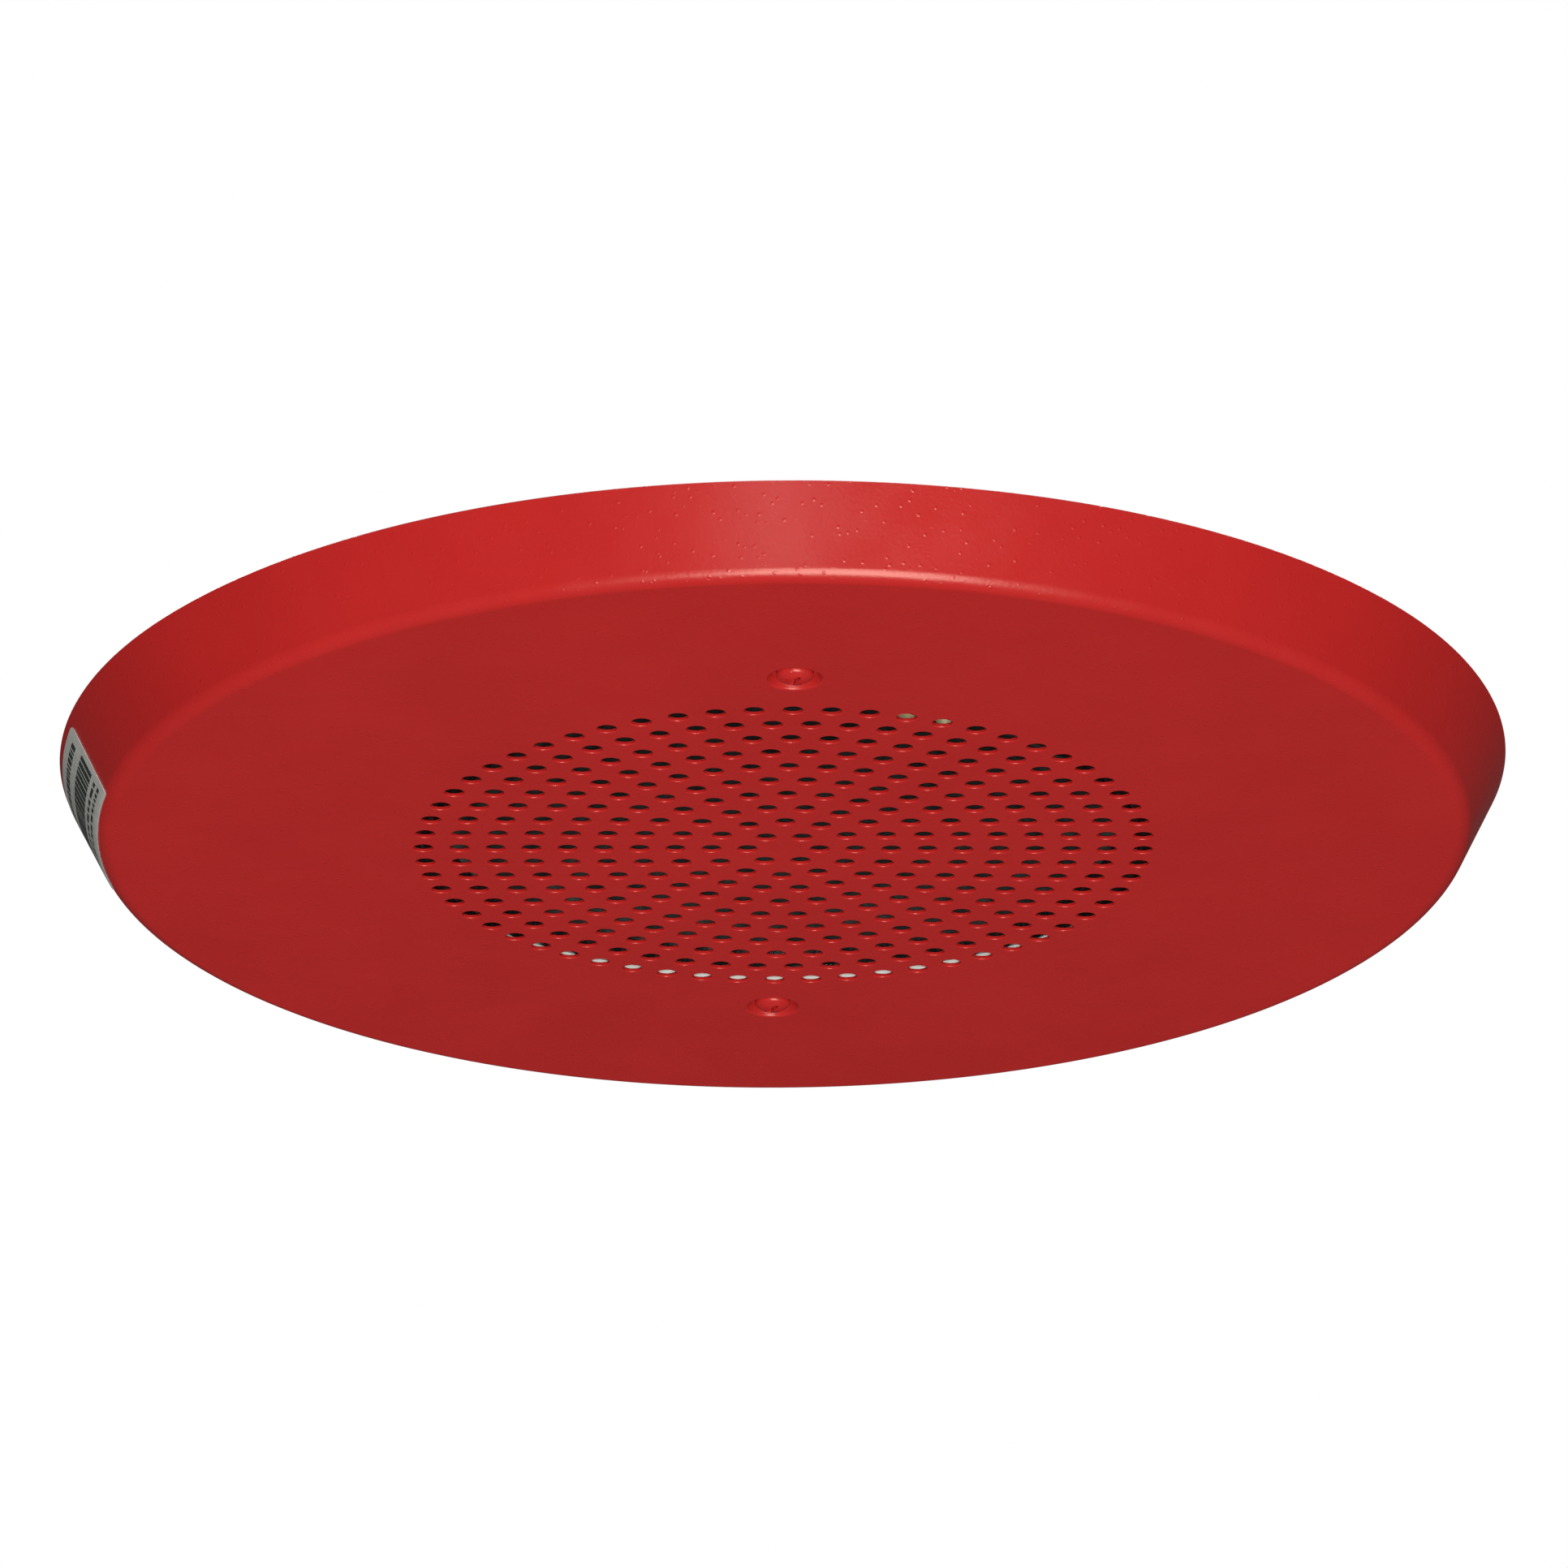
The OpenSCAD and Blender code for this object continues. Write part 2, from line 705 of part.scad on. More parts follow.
module circuit_board() {
    color("seagreen") translate([0, 0, board_z]) difference() {
        translate([board_x, -board_w / 2, 0]) cube([board_l, board_w, board_t]);
        for (x = board_screw_x, side = [-1, 1]) translate([x, side * board_screw_y, -cut])
            cylinder(r = m3_r, h = board_t + 2 * cut);
    }
}

module board_standoffs() {
    color("gold") for (x = board_screw_x, side = [-1, 1]) translate([x, side * board_screw_y, deck_z])
        difference() {
            cylinder(r = standoff_r, h = standoff_h);
            translate([0, 0, 1]) cylinder(r = m3_r, h = standoff_h);
        }
}

module board_screws() {
    color("silver") for (x = board_screw_x, side = [-1, 1]) translate([x, side * board_screw_y, top_z])
        rear_screw(2.8, 2, m3_r, board_t + standoff_h - 1.2);
}

// Places a piece on the terminal block, whose wire entries look out over the board's side
module on_block() {
    translate([block_pos[0], block_pos[1], top_z]) rotate([0, 0, -90]) children();
}

module terminal_block() {
    color("forestgreen") on_block() difference() {
        translate([0, -block_size[1] / 2, 0]) cube(block_size);
        for (k = [-1.5:1:1.5]) translate([0, k * pole_pitch, 0]) {
            translate([4.5, 0, 4]) cylinder(r = 1.5, h = block_size[2]);
            translate([3, -1.3, 1.6]) cube([block_size[0], 2.6, 4.2]);
        }
    }
}

module terminal_screws() {
    color("silver") on_block() for (k = [-1.5:1:1.5]) translate([4.5, k * pole_pitch, 7.6])
        rear_screw(1.45, 1.2, 0.9, 2.8);
}

module wire_clamps() {
    color("lightgray") on_block() for (k = [-1.5:1:1.5])
        translate([3.2, k * pole_pitch - 1.25, 1.65]) difference() {
            cube([5.2, 2.5, 3.1]);
            translate([-cut, 0.4, 0.4]) cube([5.2 + 2 * cut, 1.7, 2.2]);
        }
}

module tap_switch_body() {
    color("royalblue") translate([tap_pos[0], tap_pos[1], top_z]) difference() {
        block(tap_body);
        translate([0, 0, tap_body[2] - 3]) cylinder(r = shaft_r + fit_gap, h = 3 + cut);
        for (k = [0:tap_count - 1]) rotate([0, 0, tap_turn * (k / (tap_count - 1) - 1)])
            translate([mark_r, 0, tap_body[2] - 0.4]) cylinder(r = 0.4, h = 0.4 + cut);
    }
}

module tap_selector_knob() {
    color("white") translate([tap_pos[0], tap_pos[1], top_z]) difference() {
        union() {
            translate([0, 0, tap_body[2] - 2.8]) cylinder(r = shaft_r, h = 3.1);
            translate([0, 0, tap_body[2] + 0.3]) cylinder(r = knob_r, h = knob_h);
            translate([0, -knob_r - 1, tap_body[2] + 0.3]) cylinder(r = 1.4, h = knob_h * 0.6);
        }
        translate([0, 0, tap_body[2] + knob_h - 1]) block([1.2, knob_r * 1.5, 2]);
    }
}

module voltage_switch_body() {
    channel = [slider_size[0] + slide_travel, slider_size[1]] + 2 * fit_gap * [1, 1];
    color("dimgray") translate([slide_pos[0], slide_pos[1], top_z]) difference() {
        block(slide_body);
        translate([0, 0, slide_body[2] - slide_depth]) block([channel[0], channel[1], slide_depth + cut]);
    }
}

module voltage_switch_slider() {
    color("white") translate([slide_pos[0] - slide_travel / 2, slide_pos[1],
            top_z + slide_body[2] - slide_depth + fit_gap])
        block(slider_size);
}

module blocking_capacitor() {
    axis_z = top_z + cap_d / 2 + 0.3;
    color("darkslateblue") translate([cap_pos[0], cap_pos[1] + cap_l / 2, axis_z]) rotate([90, 0, 0])
        cylinder(d = cap_d, h = cap_l);
}

module capacitor_leads() {
    axis_z = top_z + cap_d / 2 + 0.3;
    reach = 2.4;
    color("silver") translate(cap_pos) for (side = [0, 1]) mirror([0, side, 0])
        translate([0, cap_l / 2, 0]) {
        translate([0, 0, axis_z]) rotate([-90, 0, 0]) cylinder(r = cap_wire_r, h = reach, $fn = 24);
        translate([0, reach - cap_wire_r, top_z]) cylinder(r = cap_wire_r, h = axis_z - top_z, $fn = 24);
    }
}

// Two leads run from pads at the board's side, past the magnet, down to the lugs on the basket
speaker_routes = [
    [[17, 20.5, top_z], [17.6, 20.3, top_z + 3.4], [24, 17, top_z + 2], [36, 8, 49], [43, -8, 40],
        [49, -24, 28], [53, -34, 19], [50.2, -35.4, 12.2]],
    [[17, 17.5, top_z], [17.6, 17.2, top_z + 3.4], [24, 13, top_z + 1.6], [37, -1, 47], [40, -18, 38],
        [38, -34, 28], [37.5, -46, 19], [35.4, -50.2, 12.2]]];

module speaker_wires() {
    color("gray") for (route = speaker_routes) tube(smooth(route), speaker_wire_r);
}

baffle();
weld_studs();
rating_label();
mounting_screws();
front_gasket();
basket();
stud_washers();
stud_nuts();
surround();
cone();
dust_cap();
voice_coil_former();
voice_coil_winding();
spider();
lead_glue_dabs();
top_plate();
basket_rivets();
magnet();
yoke();
terminal_strip();
terminal_lugs();
strip_rivet();
tinsel_leads();
rear() rear_bracket();
rear() bracket_screws();
rear() transformer_core();
rear() transformer_bobbin();
rear() transformer_winding();
rear() transformer_clamp();
rear() transformer_screws();
rear() transformer_nuts();
rear() bracket_grommet();
rear() tap_wires();
rear() circuit_board();
rear() board_standoffs();
rear() board_screws();
rear() terminal_block();
rear() terminal_screws();
rear() wire_clamps();
rear() tap_switch_body();
rear() tap_selector_knob();
rear() voltage_switch_body();
rear() voltage_switch_slider();
rear() blocking_capacitor();
rear() capacitor_leads();
speaker_wires();
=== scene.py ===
"""Looks of a ceiling loudspeaker: a perforated steel baffle with an eight-inch driver behind it.

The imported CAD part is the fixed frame. Shapes below are built in millimetres and turned into
metres when a piece is made. Z points up into the ceiling, and the perforated face looks down.
"""
import json
import math
import random

import bmesh
import bpy
import numpy as np
from mathutils import Matrix, Vector, geometry


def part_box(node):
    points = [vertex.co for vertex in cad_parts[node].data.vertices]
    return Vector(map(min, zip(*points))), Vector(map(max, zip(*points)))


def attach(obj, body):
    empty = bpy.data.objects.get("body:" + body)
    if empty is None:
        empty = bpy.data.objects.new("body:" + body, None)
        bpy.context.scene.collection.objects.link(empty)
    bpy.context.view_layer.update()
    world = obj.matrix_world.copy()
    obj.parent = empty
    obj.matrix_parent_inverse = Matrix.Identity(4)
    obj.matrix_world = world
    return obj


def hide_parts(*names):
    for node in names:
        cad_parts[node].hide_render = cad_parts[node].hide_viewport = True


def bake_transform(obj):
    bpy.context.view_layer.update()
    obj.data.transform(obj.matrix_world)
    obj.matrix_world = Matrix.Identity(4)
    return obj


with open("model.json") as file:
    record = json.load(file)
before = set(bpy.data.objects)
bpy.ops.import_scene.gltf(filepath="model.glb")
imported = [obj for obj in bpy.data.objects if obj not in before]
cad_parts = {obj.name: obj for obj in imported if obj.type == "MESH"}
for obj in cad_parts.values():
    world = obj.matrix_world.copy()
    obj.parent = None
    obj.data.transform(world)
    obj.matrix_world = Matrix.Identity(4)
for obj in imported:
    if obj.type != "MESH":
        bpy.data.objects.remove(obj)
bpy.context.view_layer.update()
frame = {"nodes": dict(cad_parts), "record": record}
MM = 0.001
HOUSING = "housing"
CONE = "cone_assembly"


def low(node):
    """Lowest corner of a CAD node, in millimetres."""
    return np.array(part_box(node)[0]) / MM


def high(node):
    """Highest corner of a CAD node, in millimetres."""
    return np.array(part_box(node)[1]) / MM


def middle(node):
    return (low(node) + high(node)) / 2


# ---- Sizes that several pieces share, in millimetres ----

rim_r = high("baffle")[0]
face_z = low("baffle")[2]
plate_z = low("front_gasket")[2]
flange_z = high("front_gasket")[2]
flange_back_z = low("stud_washers")[2]
sheet_t = plate_z - face_z
face_r = 148.0
bend_r = 4.4
bend_z = face_z + bend_r
wall_reach = math.hypot(rim_r - face_r, bend_z)
wall_lean = math.atan2(rim_r - face_r, -bend_z) - math.asin(bend_r / wall_reach)
bolt_pattern = next(m for m in frame["record"]["mounts"] if m["kind"] == "bolt_pattern")
bolt_r = bolt_pattern["dims"]["pcd_mm"] / 2
screw_r = bolt_pattern["dims"]["stud_r_mm"]
screw_angles = [90, 270]
stud_angles = [45, 135, 225, 315]
strip_angle = 315
ring_count = 10
ring_pitch = 7.95
hole_r = 2.15
dimple_r = 5.95
seat_z = face_z + 2.2
screw_hole_r = 2.3
coarse_pitch = 0.794


# ---- Camera: the photograph's viewing angle, from below and in front ----

def make_camera():
    distance = 2470.5
    elevation = math.radians(21.93)
    azimuth = math.radians(1.628)
    roll = math.radians(-0.471)
    target = Vector((0, 0, face_z))
    away = Vector((-math.sin(azimuth) * math.cos(elevation),
                   -math.cos(azimuth) * math.cos(elevation), -math.sin(elevation)))
    data = bpy.data.cameras.new("camera")
    data.lens = 256.8
    data.sensor_width = 36
    data.clip_start = 0.05
    data.clip_end = 50
    camera = bpy.data.objects.new("camera", data)
    bpy.context.scene.collection.objects.link(camera)
    place = target + away * distance
    look = (target - place).to_track_quat("-Z", "Y")
    right = look @ Vector((1, 0, 0))
    up = look @ Vector((0, 1, 0))
    # The plate stands a little below and left of the picture's centre
    aim_up, aim_right = 14.43, 0.25
    aim = target + up * aim_up + right * aim_right
    look = (aim - place).to_track_quat("-Z", "Y").to_matrix()
    turned = look @ Matrix.Rotation(roll, 3, "Z")
    camera.matrix_world = Matrix.Translation(place * MM) @ turned.to_4x4()
    bpy.context.scene.camera = camera


make_camera()


# ---- Shapes: each is (points, faces), in millimetres ----

def band(a, b, count):
    """Quads between two rings of count points, whose first points are a and b."""
    return [(a + k, a + (k + 1) % count, b + (k + 1) % count, b + k) for k in range(count)]


def rounded(corners, steps=4, closed=True):
    """Outline through (x, y) or (x, y, fillet) corners, with the fillets drawn as curves."""
    line = []
    count = len(corners)
    for i, corner in enumerate(corners):
        here = np.array(corner[:2], float)
        radius = corner[2] if len(corner) > 2 else 0
        if not radius or (not closed and i in (0, count - 1)):
            line.append(tuple(here))
            continue
        back = np.array(corners[i - 1][:2], float) - here
        ahead = np.array(corners[(i + 1) % count][:2], float) - here
        lengths = np.linalg.norm(back), np.linalg.norm(ahead)
        back, ahead = back / lengths[0], ahead / lengths[1]
        half = math.acos(max(-1, min(1, back @ ahead))) / 2
        reach = min(radius / math.tan(half), 0.48 * min(lengths))
        centre = here + (back + ahead) * reach / (1 + back @ ahead)
        start, end = here + back * reach, here + ahead * reach
        for k in range(steps + 1):
            spoke = start + (end - start) * k / steps - centre
            weight = np.linalg.norm(start - centre) / np.linalg.norm(spoke)
            line.append(tuple(centre + spoke * weight))
    return line


def arc(centre, radius, first, last, steps):
    """Points of an arc, with angles in degrees."""
    turns = [math.radians(first + (last - first) * k / steps) for k in range(steps + 1)]
    return [(centre[0] + radius * math.cos(a), centre[1] + radius * math.sin(a)) for a in turns]


def revolve(outline, steps=96, bend=None):
    """Solid of revolution. The outline is a loop of (r, z), or starts and ends on the axis.
    bend(angle, r, z) may move a point of the outline at each angle."""
    points, faces, rings = [], [], []
    on_axis = outline[0][0] < 1e-6 and outline[-1][0] < 1e-6
    for r, z in outline:
        start = len(points)
        if r < 1e-6:
            points.append((0, 0, z))
            rings.append([start] * steps)
            continue
        for k in range(steps):
            turn = 2 * math.pi * k / steps
            rr, zz = bend(turn, r, z) if bend else (r, z)
            points.append((rr * math.cos(turn), rr * math.sin(turn), zz))
        rings.append(list(range(start, start + steps)))
    followers = rings[1:] if on_axis else rings[1:] + rings[:1]
    for ring, after in zip(rings, followers):
        for k in range(steps):
            m = (k + 1) % steps
            face = list(dict.fromkeys((ring[k], after[k], after[m], ring[m])))
            if len(face) > 2:
                faces.append(face)
    return points, faces


def lathed(corners, steps, fillet_steps=4):
    """Solid of revolution whose outline runs from the axis back to it, through filleted corners."""
    return revolve(rounded(corners, fillet_steps, False), steps)


def prism(outline, z0, z1):
    """Straight prism on a closed (x, y) outline."""
    count = len(outline)
    points = [(x, y, z0) for x, y in outline] + [(x, y, z1) for x, y in outline]
    return points, [list(range(count))[::-1], list(range(count, 2 * count))] + band(0, count, count)


def loft(outlines, heights):
    """Solid through outlines of equal count, each at its height."""
    count = len(outlines[0])
    points = [(x, y, z) for line, z in zip(outlines, heights) for x, y in line]
    faces = [list(range(count))[::-1], list(range(len(points) - count, len(points)))]
    for i in range(len(outlines) - 1):
        faces += band(i * count, (i + 1) * count, count)
    return points, faces


def block(size, corner=0.0, steps=4):
    """Outline of a rectangle centred on zero, with rounded corners."""
    x, y = size[0] / 2, size[1] / 2
    return rounded([(-x, -y, corner), (x, -y, corner), (x, y, corner), (-x, y, corner)], steps)


def smooth_path(stops, steps=6):
    """Catmull-Rom curve through given points."""
    p = np.array(stops, float)
    last = len(p) - 1
    path = []
    for i in range(last):
        a, b, c, d = p[max(i - 1, 0)], p[i], p[i + 1], p[min(i + 2, last)]
        for k in range(steps):
            t = k / steps
            path.append(0.5 * (2 * b + (c - a) * t + (2 * a - 5 * b + 4 * c - d) * t * t
                               + (3 * b - a - 3 * c + d) * t ** 3))
    path.append(p[last])
    return np.array(path)


def tube(path, radius, sides=14, lobes=0, twist=0.0, depth=0.0):
    """Round tube along a path. With lobes, its section is that many strands, twisted along it."""
    path = np.array(path, float)
    ahead = np.gradient(path, axis=0)
    ahead /= np.linalg.norm(ahead, axis=1)[:, None]
    side = np.cross(ahead[0], (0.31, 0.95, 0.05))
    run = 0.0
    points = []
    for i, centre in enumerate(path):
        side = side - (side @ ahead[i]) * ahead[i]
        side /= np.linalg.norm(side)
        other = np.cross(ahead[i], side)
        run += np.linalg.norm(centre - path[i - 1]) if i else 0
        for k in range(sides):
            turn = 2 * math.pi * k / sides
            r = radius * (1 - depth * abs(math.sin(lobes * turn / 2 + twist * run)))
            points.append(centre + r * (math.cos(turn) * side + math.sin(turn) * other))
    rings = len(path)
    faces = [list(range(sides))[::-1], list(range((rings - 1) * sides, rings * sides))]
    for i in range(rings - 1):
        faces += band(i * sides, (i + 1) * sides, sides)
    return points, faces


def thread(radius, pitch, z0, z1):
    """Threaded rod. The crest is a helix, and the far end tapers to a point of entry."""
    sides, rows_per_turn = 24, 8
    depth = 0.55 * pitch
    rows = int((z1 - z0) / pitch * rows_per_turn) + 1
    outlines, heights = [], []
    for i in range(rows + 1):
        z = z0 + (z1 - z0) * i / rows
        tip = min(1.0, 0.72 + 0.28 * (z1 - z) / pitch)
        line = []
        for k in range(sides):
            phase = (z / pitch - k / sides) % 1
            r = (radius - depth * abs(2 * phase - 1) ** 1.3) * tip
            line.append((r * math.cos(2 * math.pi * k / sides), r * math.sin(2 * math.pi * k / sides)))
        outlines.append(line)
        heights.append(z)
    return loft(outlines, heights)


def hexagon_nut(across_corners, bore_r, z0, thick):
    """Nut with chamfered corners and a plain bore."""
    flat = across_corners * math.cos(math.pi / 6)
    chamfer_r = flat * 0.96
    fall = math.tan(math.radians(28))

    def bend(turn, r, z):
        if r < chamfer_r + 0.01:
            return r, z
        reach = flat / math.cos((turn + math.pi / 6) % (math.pi / 3) - math.pi / 6)
        drop = (reach - chamfer_r) * fall
        return reach, (z0 + drop if z < z0 + thick / 2 else z0 + thick - drop)

    outline = [(bore_r, z0 + 0.3), (bore_r + 0.35, z0), (chamfer_r, z0), (across_corners, z0 + 0.4),
               (across_corners, z0 + thick - 0.4), (chamfer_r, z0 + thick),
               (bore_r + 0.35, z0 + thick), (bore_r, z0 + thick - 0.3)]
    return revolve(outline, 72, bend)


def placed(shape, matrix):
    """A shape moved by a 4x4 matrix."""
    points, faces = shape
    return [tuple(matrix @ Vector(p)) for p in points], faces


def at(shape, x=0.0, y=0.0, z=0.0, turn=0.0):
    """A shape turned about Z by degrees, then moved."""
    return placed(shape, Matrix.Translation((x, y, z)) @ Matrix.Rotation(math.radians(turn), 4, "Z"))


def round_the_axis(shape, radius, angles):
    """Copies of a shape on a circle about Z."""
    spots = [Matrix.Rotation(math.radians(a), 4, "Z") @ Matrix.Translation((radius, 0, 0)) for a in angles]
    return joined([placed(shape, m) for m in spots])


def joined(shapes):
    points, faces = [], []
    for more_points, more_faces in shapes:
        start = len(points)
        points += [tuple(p) for p in more_points]
        faces += [[start + i for i in face] for face in more_faces]
    return points, faces


def cad_shape(node):
    """The CAD node's own solid, with its flat faces merged."""
    source = frame["nodes"][node].data
    work = bmesh.new()
    work.from_mesh(source)
    bmesh.ops.remove_doubles(work, verts=work.verts, dist=2e-6)
    bmesh.ops.dissolve_limit(work, angle_limit=math.radians(0.6), verts=work.verts, edges=work.edges)
    work.verts.index_update()
    shape = ([tuple(v.co / MM) for v in work.verts], [[v.index for v in f.verts] for f in work.faces])
    work.free()
    return shape


def added(name, data):
    """A new object, linked into the scene."""
    made = bpy.data.objects.new(name, data)
    bpy.context.scene.collection.objects.link(made)
    return made


def make_mesh(name, shape):
    points, faces = shape
    mesh = bpy.data.meshes.new(name)
    mesh.from_pydata((np.array(points, float) * MM).tolist(), [], [list(f) for f in faces])
    work = bmesh.new()
    work.from_mesh(mesh)
    bmesh.ops.recalc_face_normals(work, faces=work.faces)
    work.to_mesh(mesh)
    work.free()
    return mesh


def carved(shape, cutters):
    """A shape with other shapes cut out of it."""
    body = added("body", make_mesh("body", shape))
    tools = []
    for cutter in cutters:
        tool = added("tool", make_mesh("tool", cutter))
        step = body.modifiers.new("cut", "BOOLEAN")
        step.object = tool
        step.operation = "DIFFERENCE"
        step.solver = "EXACT"
        tools.append(tool)
    bpy.context.view_layer.update()
    result = body.evaluated_get(bpy.context.evaluated_depsgraph_get()).to_mesh()
    shape = ([tuple(v.co / MM) for v in result.vertices], [list(f.vertices) for f in result.polygons])
    for thing in [body, *tools]:
        bpy.data.objects.remove(thing)
    return shape


def piece(name, shape, slot, nodes=(), body=HOUSING, bevel=0.0, ride=True, sharp=38, look=None):
    """One visible piece: its mesh, finish, soft edges, the body it rides on and what it replaces.
    Its look is the one with its slot's name, unless another is given."""
    mesh = make_mesh(name, shape)
    mesh.materials.append(LOOKS[look or slot])
    mesh.shade_smooth()
    mesh.set_sharp_from_angle(angle=math.radians(sharp))
    made = added(name, mesh)
    if bevel:
        edge = made.modifiers.new("soft_edges", "BEVEL")
        edge.width = bevel * MM
        edge.segments = 2
        edge.limit_method = "ANGLE"
        edge.angle_limit = math.radians(32)
    normals = made.modifiers.new("even_normals", "WEIGHTED_NORMAL")
    normals.mode = "FACE_AREA_WITH_ANGLE"
    normals.keep_sharp = True
    if ride:
        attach(made, body)
    if nodes:
        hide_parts(*nodes)
    return made


# ---- Materials ----

class Look:
    """A Principled material whose colour, roughness and relief come from procedural nodes."""

    def __init__(self, name, colour, rough, metal=0.0, **sockets):
        self.name = name
        self.material = bpy.data.materials.new("look_" + name)
        self.material.use_nodes = True
        self.tree = self.material.node_tree
        self.shader = self.tree.nodes["Principled BSDF"]
        self.coords = self.node("ShaderNodeTexCoord").outputs["Object"]
        self.put("Base Color", (*colour, 1))
        self.put("Roughness", rough)
        self.put("Metallic", metal)
        for socket, value in sockets.items():
            self.put(socket.replace("_", " "), value)

    def put(self, socket, value, node=None):
        target = (node or self.shader).inputs[socket]
        if isinstance(value, bpy.types.NodeSocket):
            self.tree.links.new(value, target)
        else:
            target.default_value = value

    def node(self, kind, inputs=None, **properties):
        made = self.tree.nodes.new(kind)
        for name, value in properties.items():
            setattr(made, name, value)
        for socket, value in (inputs or {}).items():
            self.put(socket, value, made)
        return made

    def stretched(self, x=1.0, y=1.0, z=1.0, turn=0.0):
        """Object coordinates scaled along each axis, after a turn about Z in degrees."""
        return self.node("ShaderNodeMapping", {"Vector": self.coords, "Scale": (x, y, z),
                                               "Rotation": (0, 0, math.radians(turn))}).outputs[0]

    def polar(self, turns=1.0):
        """Coordinates (angle, radius, z), for what was turned or wound about Z."""
        split = self.node("ShaderNodeSeparateXYZ", {"Vector": self.coords}).outputs
        angle = self.math("ARCTAN2", split["Y"], split["X"])
        squares = self.math("ADD", self.math("MULTIPLY", split["X"], split["X"]),
                            self.math("MULTIPLY", split["Y"], split["Y"]))
        return self.node("ShaderNodeCombineXYZ", {"X": self.math("MULTIPLY", angle, turns),
                                                  "Y": self.math("SQRT", squares, 0.5),
                                                  "Z": split["Z"]}).outputs[0]

    def noise(self, scale, detail=2.0, rough=0.5, coords=None):
        inputs = {"Vector": coords or self.coords, "Scale": scale, "Detail": detail, "Roughness": rough}
        return self.node("ShaderNodeTexNoise", inputs).outputs[0]

    def cells(self, scale, output="Distance"):
        return self.node("ShaderNodeTexVoronoi", {"Vector": self.coords, "Scale": scale}).outputs[output]

    def wave(self, scale, direction, distortion=0.0, coords=None):
        inputs = {"Vector": coords or self.coords, "Scale": scale, "Distortion": distortion}
        return self.node("ShaderNodeTexWave", inputs, bands_direction=direction).outputs[1]

    def math(self, operation, a, b=0.0):
        made = self.node("ShaderNodeMath", operation=operation)
        self.put(0, a, made)
        self.put(1, b, made)
        return made.outputs[0]

    def ramp(self, fac, *stops):
        """Colour or grey that changes over (position, value) stops."""
        made = self.node("ShaderNodeValToRGB", {"Fac": fac})
        elements = made.color_ramp.elements
        while len(elements) < len(stops):
            elements.new(0.5)
        for element, (place, value) in zip(elements, stops):
            element.position = place
            element.color = (*value, 1) if isinstance(value, tuple) else (value, value, value, 1)
        return made.outputs[0]

    def mix(self, fac, a, b):
        made = self.node("ShaderNodeMix", data_type="RGBA")
        for socket, value in ((0, fac), (6, a), (7, b)):
            if isinstance(value, tuple):
                value = (*value, 1)
            self.put(socket, value, made)
        return made.outputs[2]

    def colour(self, value):
        self.put("Base Color", value)

    def gloss(self, scale, detail, least, most):
        """Roughness that drifts between two values."""
        self.put("Roughness", self.ramp(self.noise(scale, detail), (0.3, least), (0.7, most)))

    def relief(self, height, depth):
        """Adds bumps, in millimetres at full height, on top of any already there."""
        bumps = self.node("ShaderNodeBump", {"Height": height, "Distance": depth * MM, "Strength": 1.0})
        for link in list(self.shader.inputs["Normal"].links):
            self.put("Normal", link.from_socket, bumps)
        self.put("Normal", bumps.outputs[0])


def red_paint(name, rough, peel_size, peel_depth):
    look = Look(name, (0.41, 0.0138, 0.0125), rough)
    cloud = look.noise(28, 3)
    look.colour(look.ramp(cloud, (0.3, (0.395, 0.013, 0.0118)), (0.7, (0.425, 0.0145, 0.0132))))
    look.gloss(90, 3, rough - 0.03, rough + 0.04)
    look.relief(look.noise(1 / (peel_size * MM), 1.5), peel_depth)
    grit = look.cells(1 / (2.2 * MM))
    look.relief(look.ramp(grit, (0.08, 1.0), (0.2, 0.0)), 0.05)
    return look


def plated(name, colour, rough=0.34, turned=False):
    """Plated metal: faint blotches and fine scratches, which run round the axis where it was turned."""
    look = Look(name, colour, rough, 1.0)
    coords = look.polar(0.002) if turned else None
    darker = tuple(c * 0.88 for c in colour)
    yellow = (colour[0] * 1.02, colour[1] * 0.98, colour[2] * 0.86)
    blotches = look.mix(look.ramp(look.noise(90, 2), (0.4, 0.0), (0.7, 1.0)), colour, yellow)
    look.colour(look.mix(look.ramp(look.noise(320, 4), (0.35, 0.0), (0.65, 0.75)), blotches, darker))
    look.gloss(500, 4, rough - 0.07, rough + 0.1)
    look.relief(look.noise(2600, 2, coords=coords), 0.006)
    return look


def moulded(name, colour, rough=0.45, grain=2200, depth=0.006):
    """Moulded plastic: spark-eroded grain, flow clouding and rubbed patches."""
    look = Look(name, colour, rough)
    paler = tuple(min(1.0, c * 1.12 + 0.004) for c in colour)
    look.colour(look.mix(look.ramp(look.noise(160, 3), (0.35, 0.0), (0.7, 1.0)), colour, paler))
    look.gloss(420, 3, rough - 0.06, rough + 0.08)
    look.relief(look.noise(grain, 2), depth)
    return look


def woven(name, colour, dark, rough, thread_mm, depth, **sockets):
    """Cloth woven square, with its yarns laid along the object's X and Y axes."""
    look = Look(name, colour, rough, **sockets)
    wound = look.stretched()
    warp = look.wave(0.157 / (thread_mm * MM), "X", 0.4, wound)
    weft = look.wave(0.157 / (thread_mm * MM), "Y", 0.4, wound)
    yarn = look.math("MULTIPLY", warp, weft)
    look.colour(look.mix(look.ramp(yarn, (0.05, 0.0), (0.6, 1.0)), dark, colour))
    look.gloss(700, 3, rough - 0.08, rough + 0.12)
    look.relief(look.math("ADD", warp, weft), depth)
    look.relief(look.noise(3000, 3), 0.01)
    return look


